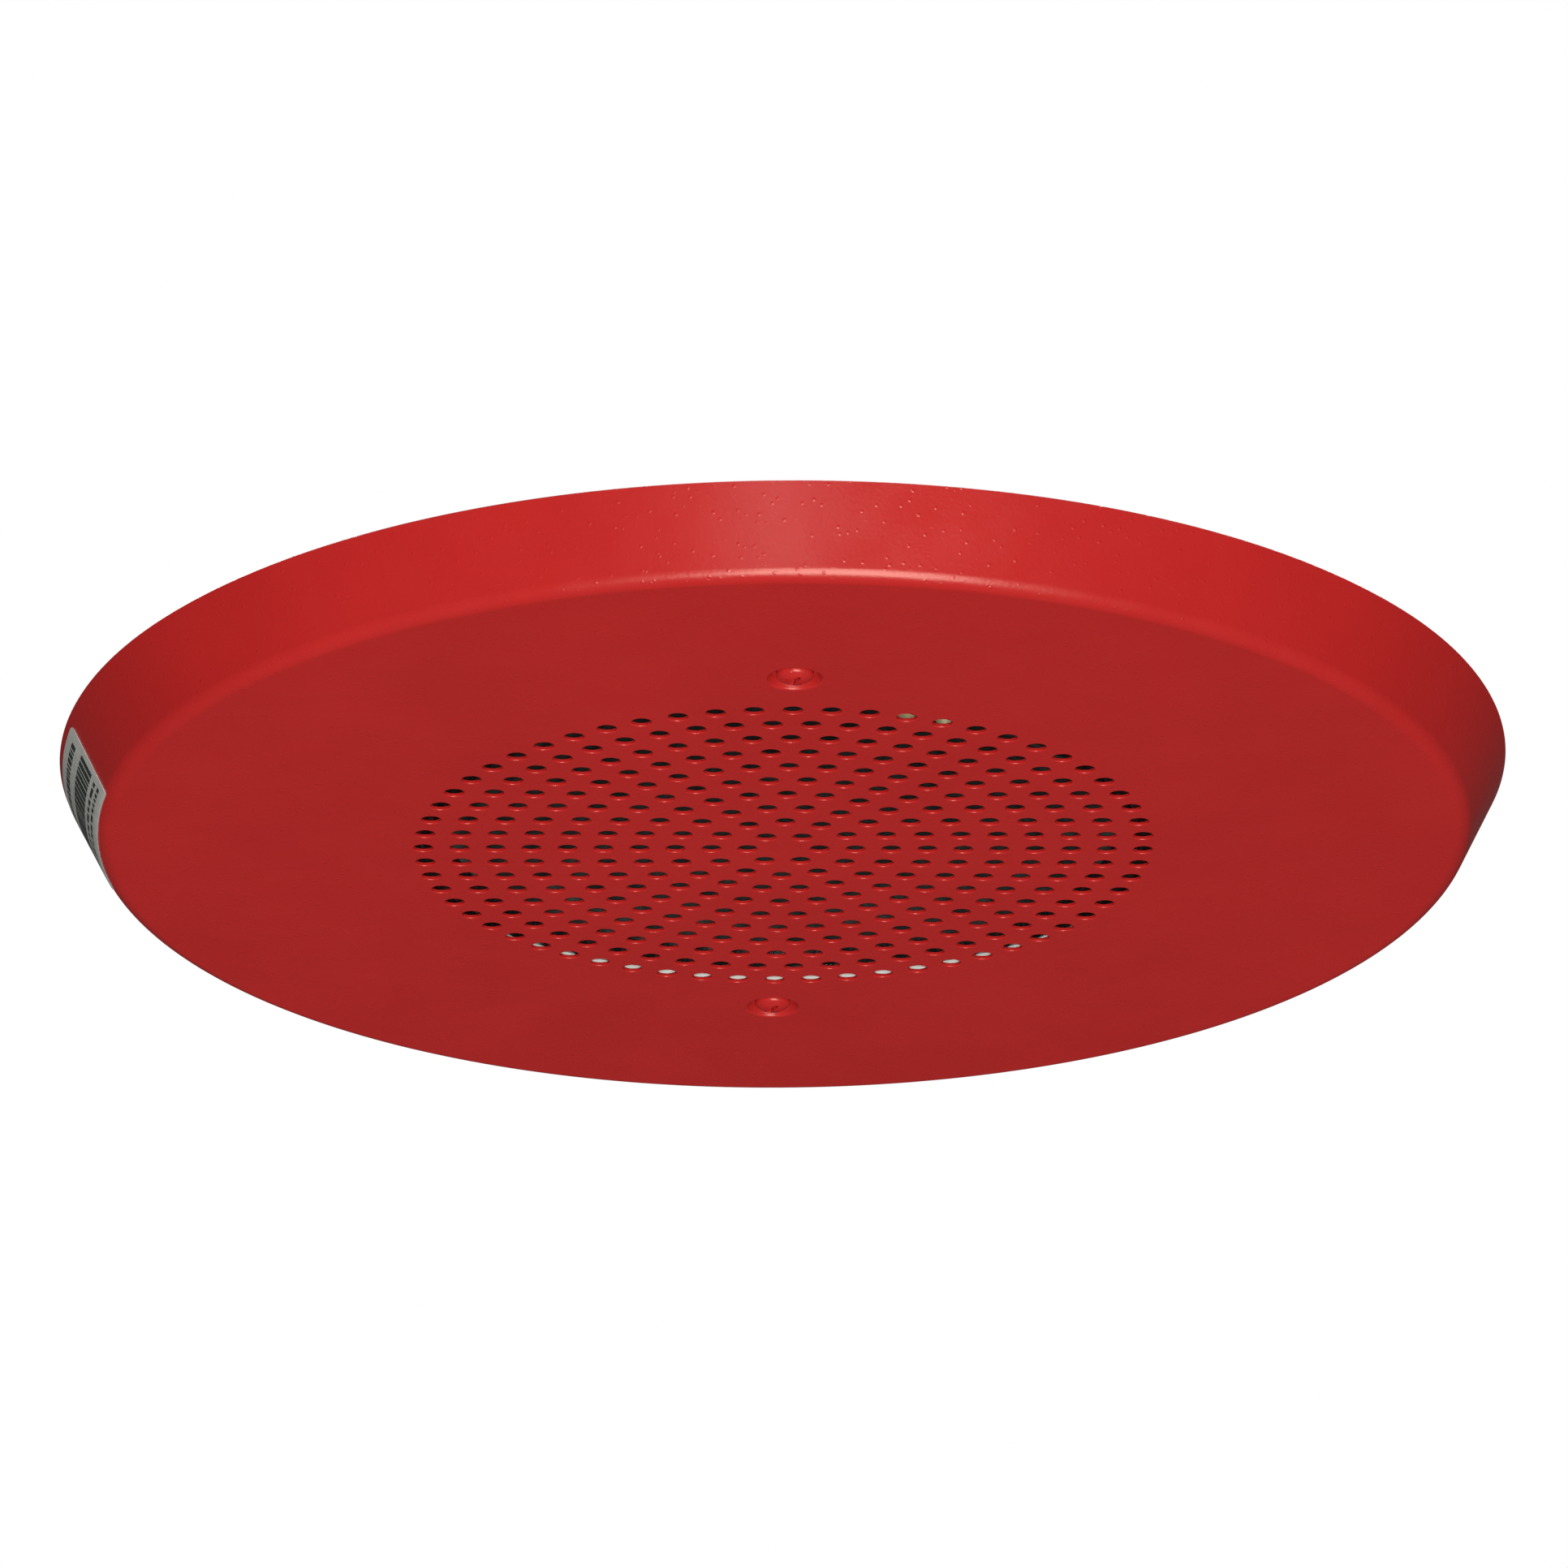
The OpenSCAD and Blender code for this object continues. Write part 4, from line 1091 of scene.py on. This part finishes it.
def pleats(outer_r, inner_r, base_z, end_z, waves, rise):
    """Centre line of pressed pleats from one radius to another."""
    steps = waves * 12
    line = []
    for k in range(steps + 1):
        u = k / steps
        line.append((outer_r + (inner_r - outer_r) * u,
                     base_z + (end_z - base_z) * u + rise * math.sin(2 * math.pi * waves * u)))
    return line


def sector(outline, first, last):
    """Part of a solid of revolution between two angles in degrees, with closed ends."""
    count, columns = len(outline), 10
    points, faces = [], []
    for k in range(columns + 1):
        turn = math.radians(first + (last - first) * k / columns)
        points += [(r * math.cos(turn), r * math.sin(turn), z) for r, z in outline]
    for k in range(columns):
        faces += band(k * count, (k + 1) * count, count)
    half = count // 2
    for start in (0, columns * count):
        faces += [(start + i, start + i + 1, start + count - 2 - i, start + count - 1 - i) for i in range(half - 1)]
    return points, faces


def cloth_ring(name, line, thick, slot, sectors=16):
    """Ring of pleated cloth in sectors, each reaching between the basket and the cone."""
    outline = [(r, z - thick / 2) for r, z in line] + [(r, z + thick / 2) for r, z in reversed(line)]
    for k in range(sectors):
        first = 360 * k / sectors
        made = piece(f"{name}_{k + 1:02d}", sector(outline, first, first + 360 / sectors), slot, [name], ride=False)
        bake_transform(made)


cloth_t = 0.4
surround_z = flange_z - cloth_t / 2
# Each cloth ring: a flat, glued rim, then the pleats, then what is glued to the cone or its former
surround_line = [(87.2, surround_z), (85, surround_z)]
surround_line += pleats(flange_in_r, cone_r, surround_z, cone_edge_z + cloth_t / 2, 3, -1.1)
cloth_ring("surround", surround_line, cloth_t, "treated_cloth")
spider_t = 0.5
spider_z = shelf_z - spider_t / 2
spider_line = [(44.5, spider_z), (40, spider_z)] + pleats(36, 15.95, spider_z, spider_z, 4, 1.3)
spider_line += [(14.5, spider_z), (coil_r, spider_z)]
cloth_ring("spider", spider_line, spider_t, "spider_cloth")

lead_spots = [(27.4, -25.2), (35.6, -37.1)]


def glue_dabs():
    """Rounded blobs on the front of the cone, where the leads come through."""
    outline = [(0, -1.7), (0.9, -1.66), (1.8, -1.46), (2.5, -1.12), (3.0, -0.66), (3.3, -0.2), (3.4, 0.12),
               (0, 0.12)]
    dabs = []
    for number, (x, y) in enumerate(lead_spots):
        r = math.hypot(x, y)
        lumpy = revolve(outline, 40, lambda turn, rr, zz: (rr * (1 + 0.07 * math.sin(2 * turn + number)
                                                                 + 0.04 * math.sin(5 * turn + 2 * number)), zz))
        lean = Matrix.Rotation(math.atan2(y, x), 4, "Z") @ Matrix.Translation((r, 0, cone_front(r)))
        dabs.append(placed(lumpy, lean @ Matrix.Rotation(math.atan(cone_slope), 4, "Y")))
    return joined(dabs)


piece("lead_glue", glue_dabs(), "dried_glue", ["lead_glue_dabs"], CONE)


# ---- Leads from the basket's terminals to the cone ----

tinsel_r = 0.6
tinsel_routes = [
    [(54.7, -34.9, 8.2), (56.4, -32.5, 9), (55, -29.5, 8), (51.5, -27, 5.2), (46.5, -28.5, 2.5), (41.5, -33, 1.2),
     (36.8, -36.8, 0.8), (*lead_spots[1], -2.3)],
    [(34.9, -54.7, 8.2), (32.5, -56.4, 9), (29.5, -55, 8), (27, -51.5, 5.2), (26.8, -44, 3.7), (27.2, -36, 4.7),
     (27.5, -27.6, 7.2), (*lead_spots[0], 4.2)]]
for number, route in enumerate(tinsel_routes):
    lead = tube(smooth_path(route, 14), tinsel_r, 18, lobes=3, twist=2.6, depth=0.22)
    made = piece(f"tinsel_lead_{number + 1}", lead, "tinsel_braid", ["tinsel_leads"], ride=False, sharp=60)
    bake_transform(made)


# ---- Rear assembly: bracket and transformer, on the far side of the driver ----

def sleeve(outers, heights, inner, corner, inner_corner=0.3):
    """Rectangular tube whose outer outline changes with height."""
    loops = [block(size, corner, 5) for size in outers] + [block(inner, inner_corner, 5)] * 2
    levels = list(heights) + [heights[-1], heights[0]]
    count = len(loops[0])
    points = [(x, y, z) for line, z in zip(loops, levels) for x, y in line]
    faces = []
    for i in range(len(loops)):
        faces += band(i * count, (i + 1) % len(loops) * count, count)
    return points, faces


bracket_z = low("rear_bracket")[2]
deck_z = bracket_z + 1.2
core_low, core_high = low("transformer_core"), high("transformer_core")
core_mid = middle("transformer_core")
core_w = core_high[1] - core_low[1]
core_h = core_high[2] - core_low[2]
core_stack = core_high[0] - core_low[0]
leg_w, yoke_w = core_w / 3, core_w / 6
window_h = core_h - 2 * yoke_w


def screw_group(name, node, spots, top_z, head, shank):
    """Rear screws of one size, each turned a little differently."""
    draw = random.Random(len(name))
    screw = pan_screw(head[0], head[1], shank[0] * 0.9, 0.3, shank[0], shank[1], 0.7)
    placed_all = [at(screw, x, y, top_z, draw.uniform(0, 90)) for x, y in spots]
    piece(name, joined(placed_all), "zinc_hardware", [node])


screw_group("bracket_screw_pair", "bracket_screws", [(0, -20), (0, 20)], deck_z, (3.8, 2.4), (2, 4.9))
clamp_y = [core_low[1] - 5, core_high[1] + 5]
screw_group("transformer_screw_pair", "transformer_screws", [(0, y) for y in clamp_y], deck_z, (2.8, 2), (1.5, 5.3))
nut_low, nut_high = low("transformer_nuts")[2], high("transformer_nuts")[2]
clamp_nut = hexagon_nut(3.1, 1.52, nut_low, nut_high - nut_low)
piece("transformer_nut_pair", joined([at(clamp_nut, 0, y, turn=90) for y in clamp_y]), "zinc_hardware",
      ["transformer_nuts"])


def lamination_stack():
    """E and I sheets laid in alternately, so that their joints show on both ends."""
    draw = random.Random(3)
    sheets = 28
    pitch = core_stack / sheets
    w, h, y, leg = core_w, core_h, yoke_w, leg_w
    e_sheet = [(0, 0), (w, 0), (w, h - y - 0.04), (w - y, h - y - 0.04), (w - y, y), ((w + leg) / 2, y),
               ((w + leg) / 2, h - y - 0.04), ((w - leg) / 2, h - y - 0.04), ((w - leg) / 2, y), (y, y),
               (y, h - y - 0.04), (0, h - y - 0.04)]
    i_sheet = [(0, h - y), (w, h - y), (w, h), (0, h)]
    stack = []
    for k in range(sheets):
        shift = (draw.uniform(-0.05, 0.05), draw.uniform(-0.04, 0.04))
        x = -core_stack / 2 + k * pitch
        for outline in (e_sheet, i_sheet):
            line = [(a, h - b) for a, b in outline] if k % 2 else outline
            line = [(core_low[1] + a + shift[0], core_low[2] + b + shift[1]) for a, b in line]
            stack.append(upright(prism(line, x + 0.02, x + pitch - 0.02)))
    return joined(stack)


piece("lamination_stack", lamination_stack(), "lamination_steel", ["transformer_core"])

bobbin_low = core_low[2] + yoke_w
bobbin_top = bobbin_low + window_h
bobbin_size = high("transformer_bobbin") - low("transformer_bobbin")
flange_size = (bobbin_size[0], bobbin_size[1])
leg_hole = (core_stack + 0.04, leg_w + 0.04)
tube_size = (core_stack + 2, leg_w + 2)
bobbin = [sleeve([flange_size] * 2, (bobbin_low + 0.02, bobbin_low + 1), leg_hole, 1.6),
          sleeve([flange_size] * 2, (bobbin_top - 1, bobbin_top - 0.02), leg_hole, 1.6),
          sleeve([tube_size] * 2, (bobbin_low + 1, bobbin_top - 1), leg_hole, 0.8)]
piece("bobbin", at(joined(bobbin), 0, core_mid[1]), "nylon_bobbin", ["transformer_bobbin"], bevel=0.15)


def wound_coil():
    """Coil under tape: the tape's overlaps make low steps, and it draws in at both flanges."""
    size = high("transformer_winding") - low("transformer_winding")
    start, end = low("transformer_winding")[2] + 0.05, high("transformer_winding")[2] - 0.05
    heights, outers = [], []
    for level, inset in ((0, 0.9), (0.03, 0.25), (0.3, 0.12), (0.302, 0.0), (0.68, 0.0), (0.682, 0.12),
                         (0.97, 0.25), (1, 0.9)):
        heights.append(start + (end - start) * level)
        outers.append((size[0] - 2 * inset, size[1] - 2 * inset))
    return at(sleeve(outers, heights, (core_stack + 2.1, leg_w + 2.1), 3.2, 0.8), 0, core_mid[1])


piece("taped_coil", wound_coil(), "winding_tape", ["transformer_winding"])


# ---- Circuit board and what stands on it ----

board_low, board_high = low("circuit_board"), high("circuit_board")
top_z = board_high[2]
board_screw_spots = [(x, y) for x in (-10, 10) for y in (0, 45)]
# Turned brass spacers: hexagonal, with a chamfer at each end
standoff = hexagon_nut(3.35, 1.52, deck_z, board_low[2] - deck_z)
piece("board_standoff_set", joined([at(standoff, x, y) for x, y in board_screw_spots]), "turned_brass",
      ["board_standoffs"])
screw_group("board_screw_set", "board_screws", board_screw_spots, top_z, (2.8, 2), (1.5, 4.4))

pole_pitch = 3.8
pole_ys = [middle("terminal_block")[1] + pole_pitch * (k - 1.5) for k in range(4)]
screw_x = low("terminal_block")[0] + 4.5


def slotted_screw(x, y):
    top = high("terminal_screws")[2]
    head = lathed([(0, top), (1.45, top, 0.35), (1.45, top - 1.2, 0.1), (0.9, top - 1.2), (0.9, top - 4),
                   (0, top - 4)], 32)
    blade = prism(block((3.2, 0.45)), top - 0.55, top + 1)
    return at(carved(head, [blade]), x, y, turn=20 + 37 * y)


piece("clamp_screws", joined([slotted_screw(screw_x, y) for y in pole_ys]), "zinc_hardware", ["terminal_screws"])

can_mid = middle("blocking_capacitor")
can_size = high("blocking_capacitor") - low("blocking_capacitor")
can_r, can_l = can_size[2] / 2, can_size[0]
can_place = Matrix.Translation(can_mid) @ Matrix.Rotation(math.pi / 2, 4, "Y")
cap_wire_r, cap_wire_reach = 0.36, 2.0


def capacitor_can():
    """Sleeved axial can: a crimp groove near one end, and the sleeve shrunk over both ends."""
    end = can_l / 2
    can = lathed([(0, -end + 0.5), (can_r * 0.72, -end + 0.5, 0.2), (can_r * 0.78, -end, 0.3),
                  (can_r, -end, 0.7), (can_r, -end + 2.2, 0.4), (can_r - 0.45, -end + 2.8, 0.4),
                  (can_r, -end + 3.4, 0.4), (can_r, end, 0.7), (can_r * 0.78, end, 0.3),
                  (can_r * 0.72, end - 0.4, 0.2), (0, end - 0.4)], 64)
    return placed(can, can_place)


piece("capacitor_can", capacitor_can(), "capacitor_sleeve", ["blocking_capacitor"])
stripe = sector([(can_r - 0.05, -can_l / 2 + 4), (can_r + 0.03, -can_l / 2 + 4), (can_r + 0.03, can_l / 2 - 1),
                 (can_r - 0.05, can_l / 2 - 1)], 150, 185)
piece("capacitor_stripe", placed(stripe, can_place), "capacitor_sleeve", look="capacitor_stripe")


def capacitor_wires():
    shapes = []
    for side in (-1, 1):
        mid_z = can_mid[2]
        stops = ((-0.5, mid_z), (1.2, mid_z), (1.85, mid_z - 0.45), (cap_wire_reach, mid_z - 1.6),
                 (cap_wire_reach, top_z - 0.4))
        route = [(can_mid[0] + side * can_l / 2 + side * out, can_mid[1], z) for out, z in stops]
        shapes.append(tube(smooth_path(route, 5), cap_wire_r, 12))
    return joined(shapes)


piece("capacitor_wires", capacitor_wires(), "tinned_wire", ["capacitor_leads"])


# ---- Wires ----

tap_wire_r = 0.6
speaker_wire_r = 0.8
tap_numbers = range(-2, 3)
pad_y, pad_step = 51.0, 3.2
lead_exit_x = -10.0
tap_colours = ["black", "brown", "red", "orange", "yellow"]


def tap_route(k):
    """From the bobbin up through the grommet, round the board's corner, down to a pad."""
    start_y, pad_x = core_mid[1] + 2.8 * k, pad_step * k
    reach_y, reach_x = start_y - pad_y, pad_x - lead_exit_x
    lane_z = top_z + 5
    route = [(lead_exit_x, start_y, bobbin_top), (lead_exit_x, start_y, bracket_z + 1),
             (lead_exit_x, start_y, top_z + 1.5)]
    for a in (15, 40, 65):
        turn = math.radians(a)
        route.append((lead_exit_x + reach_x * math.sin(turn), pad_y + reach_y * math.cos(turn),
                      lane_z - (1 if a == 15 else 0)))
    return route + [(pad_x, pad_y, top_z + 3), (pad_x, pad_y - 0.4, top_z + 0.9)]


for k, colour in zip(tap_numbers, tap_colours):
    path = smooth_path(tap_route(k), 8)
    piece(f"tap_wire_{colour}", tube(path, tap_wire_r, 16), "wire_insulation", ["tap_wires"], look=colour + "_wire")

speaker_pads = [(17, 20.5), (17, 17.5)]
speaker_routes = {
    "red": [(*speaker_pads[0], top_z + 0.8), (17.6, 20.3, top_z + 3.4), (24, 17, top_z + 2), (36, 8, 49),
            (43, -8, 40), (49, -24, 28), (53, -34, 19), (50.2, -35.4, 12.2)],
    "white": [(*speaker_pads[1], top_z + 0.8), (17.6, 17.2, top_z + 3.4), (24, 13, top_z + 1.6), (37, -1, 47),
              (40, -18, 38), (38, -34, 28), (37.5, -46, 19), (35.4, -50.2, 12.2)]}
for colour, route in speaker_routes.items():
    piece(f"speaker_wire_{colour}", tube(smooth_path(route, 10), speaker_wire_r, 16), "wire_insulation",
          ["speaker_wires"], look=colour + "_wire")


# ---- Solder, tracks and markings on the board ----

def solder_joint(x, y, z, radius=1.0, height=0.9, up=1):
    outline = [(0, 0), (radius, 0), (radius * 0.96, 0.12 * height), (radius * 0.62, 0.42 * height),
               (radius * 0.36, 0.8 * height), (radius * 0.22, height), (0, height)]
    shape = revolve(outline, 20)
    return at(shape if up > 0 else upside_down(shape), x, y, z)


pad_spots = [(pad_step * k, pad_y - 0.4) for k in tap_numbers] + speaker_pads
cap_spots = [(can_mid[0] + side * (can_l / 2 + cap_wire_reach), can_mid[1]) for side in (-1, 1)]
bare_wire = [tube([(x, y, top_z + 1.2), (x, y, top_z - 0.2)], 0.42, 10) for x, y in pad_spots]
top_joints = [solder_joint(x, y, top_z - 0.01, 1.15, 1.3) for x, y in pad_spots]
top_joints += [solder_joint(x, y, top_z - 0.01, 0.8, 0.7) for x, y in cap_spots]
pin_spots = pad_spots + cap_spots + [(screw_x + 2, y) for y in pole_ys]
pin_spots += [(-16 + 5 * i, 14 + 4 * k) for i in range(3) for k in range(3)]
pin_spots += [(-16 + 6 * i, 30 + 4 * k) for i in range(2) for k in range(3)]
under_joints = [solder_joint(x, y, board_low[2] + 0.01, 0.85, 0.75, -1) for x, y in pin_spots]
lug_joints = [placed(revolve([(0, -0.5), (1.4, -0.4), (1.5, 0.1), (1.0, 0.75), (0.4, 1.05), (0, 1.1)], 24),
                     Matrix.Translation(Vector(route[-1]) + Vector((0, 0, -0.9))))
              for route in speaker_routes.values()]
lug_joints += [placed(revolve([(0, -0.6), (1.1, -0.5), (1.2, 0.1), (0.7, 0.7), (0, 0.85)], 24),
                      Matrix.Translation(Vector(route[0]) + Vector((0, 0, -0.2)))) for route in tinsel_routes]
piece("solder_joints", joined(top_joints + under_joints + lug_joints + bare_wire), "tinned_wire", look="solder")


def track(stops, width, z, thick):
    """Flat copper track under the solder mask, with rounded elbows."""
    shapes = []
    for i, ((x0, y0), (x1, y1)) in enumerate(zip(stops, stops[1:])):
        length = math.hypot(x1 - x0, y1 - y0)
        strip = prism(block((length + width, width), width * 0.49, 3), 0, thick + 0.004 * i)
        shapes.append(placed(strip, Matrix.Translation(((x0 + x1) / 2, (y0 + y1) / 2, z))
                             @ Matrix.Rotation(math.atan2(y1 - y0, x1 - x0), 4, "Z")))
    return joined(shapes)


def board_tracks():
    shapes = []
    for k in tap_numbers:
        x = pad_step * k
        stops = [(x, pad_y - 0.4), (x, 46 - abs(k)), (-9 - 1.6 * (k + 2) / 2, 40 - 1.6 * k), (-9 - 0.8 * (k + 2), 27)]
        shapes.append(track(stops, 0.8, top_z, 0.035))
        shapes.append(track([(x, pad_y - 0.4), (x * 0.8, 30), (x * 1.6 - 6, 16)], 1.0, board_low[2] - 0.035, 0.035))
    for k, y in enumerate(pole_ys):
        shapes.append(track([(screw_x + 2, y), (6 - k, y), (4 - k, 20 + 1.5 * k)], 1.2, top_z, 0.035))
        shapes.append(track([(screw_x + 2, y), (2 + k, y), (0 + k, 10)], 1.4, board_low[2] - 0.035, 0.035))
    return joined(shapes)


piece("board_tracks", board_tracks(), "board_laminate", look="mask_over_copper")


def frame_line(centre, size):
    x, y = size[0] / 2, size[1] / 2
    loop = [(-x, -y), (x, -y), (x, y), (-x, y), (-x, -y)]
    return at(track(loop, 0.22, 0, 0.02), centre[0], centre[1], top_z)


def board_print():
    """White outlines round the parts, and a plus and a minus at the driver's pads."""
    shapes = []
    for node in ("terminal_block", "tap_switch_body", "voltage_switch_body"):
        size = high(node) - low(node)
        shapes.append(frame_line(middle(node), (size[0] + 1.2, size[1] + 1.2)))
    shapes.append(frame_line((can_mid[0], can_mid[1]), (can_l + 1.4, 2 * can_r + 0.8)))
    shapes += [at(track([(-0.5, 0), (0.5, 0)], 0.25, 0, 0.02), x + 2.2, y, top_z) for x, y in speaker_pads]
    plus_x, plus_y = speaker_pads[0][0] + 2.2, speaker_pads[0][1]
    shapes.append(at(track([(0, -0.5), (0, 0.5)], 0.25, 0, 0.03), plus_x, plus_y, top_z))
    return joined(shapes)


piece("board_print", board_print(), "board_laminate", look="board_ink")


# ---- Light and stage ----

def area_light(name, elevation, azimuth, distance, size, power, diffuse=True, glossy=True, colour=(1, 1, 1)):
    """Soft light aimed at the baffle. Azimuth 0 stands on the near side, at -Y."""
    e, a = math.radians(elevation), math.radians(azimuth)
    away = Vector((math.sin(a) * math.cos(e), -math.cos(a) * math.cos(e), math.sin(e)))
    data = bpy.data.lights.new(name, "AREA")
    data.shape = "RECTANGLE"
    data.size, data.size_y = size
    data.energy = power
    data.color = colour
    lamp = added(name, data)
    lamp.location = away * distance
    lamp.rotation_euler = (-away).to_track_quat("-Z", "Y").to_euler()
    lamp.visible_camera = False
    lamp.visible_diffuse = diffuse
    lamp.visible_glossy = glossy


def make_world():
    """White behind the object, and a low even light that is brighter overhead."""
    world = bpy.data.worlds.new("studio")
    bpy.context.scene.world = world
    world.use_nodes = True
    tree = world.node_tree
    tree.nodes.clear()
    add = tree.nodes.new
    output, choose = add("ShaderNodeOutputWorld"), add("ShaderNodeMixShader")
    white, soft = add("ShaderNodeBackground"), add("ShaderNodeBackground")
    path, coords = add("ShaderNodeLightPath"), add("ShaderNodeTexCoord")
    split, ramp = add("ShaderNodeSeparateXYZ"), add("ShaderNodeValToRGB")
    lowest, highest = ramp.color_ramp.elements
    lowest.position = 0.25
    lowest.color = (0.04, 0.04, 0.04, 1)
    highest.color = (0.6, 0.6, 0.6, 1)
    white.inputs[0].default_value = (1, 1, 1, 1)
    for source, target in ((coords.outputs["Generated"], split.inputs[0]), (split.outputs["Z"], ramp.inputs[0]),
                           (ramp.outputs[0], soft.inputs[0]), (path.outputs["Is Camera Ray"], choose.inputs[0]),
                           (soft.outputs[0], choose.inputs[1]), (white.outputs[0], choose.inputs[2]),
                           (choose.outputs[0], output.inputs[0])):
        tree.links.new(source, target)


def make_floor():
    """Pale floor, low enough that the views from below stand above it."""
    floor = added("floor", bpy.data.meshes.new("floor"))
    side = 14.0
    floor.data.from_pydata([(-side, -side, -4), (side, -side, -4), (side, side, -4), (-side, side, -4)],
                           [], [(0, 1, 2, 3)])
    look = Look("pale_floor", (0.8, 0.79, 0.77), 0.9)
    look.colour(look.ramp(look.noise(3, 3), (0.3, (0.78, 0.77, 0.75)), (0.7, (0.82, 0.81, 0.79))))
    # The floor is far from the lamps, so it is brightened for the camera alone
    look.put("Emission Color", (0.38, 0.375, 0.365, 1))
    look.put("Emission Strength", look.node("ShaderNodeLightPath").outputs["Is Camera Ray"])
    floor.data.materials.append(look.material)
    floor.visible_glossy = False


area_light("key", -22, -1.6, 3.0, (0.16, 0.16), 71, glossy=False)
area_light("key_sparkle", -22, -1.6, 3.0, (0.05, 0.05), 3, diffuse=False)
area_light("under", -62, 10, 2.4, (1.2, 1.2), 25, glossy=False)
area_light("wall_strip", -31, -8, 3.0, (0.1, 1.0), 0.8, diffuse=False, colour=(1, 0.93, 0.8))
area_light("bend_strip", -56, 13, 2.4, (1.2, 1.4), 48, diffuse=False, colour=(1, 0.9, 0.76))
area_light("top", 78, 20, 3.0, (1.8, 1.8), 50)
area_light("rear_left", 50, 150, 3.0, (1.1, 1.1), 26)
area_light("rear_right", 46, -140, 3.0, (1.1, 1.1), 26)
make_world()
make_floor()
bpy.context.scene.view_settings.view_transform = "Standard"
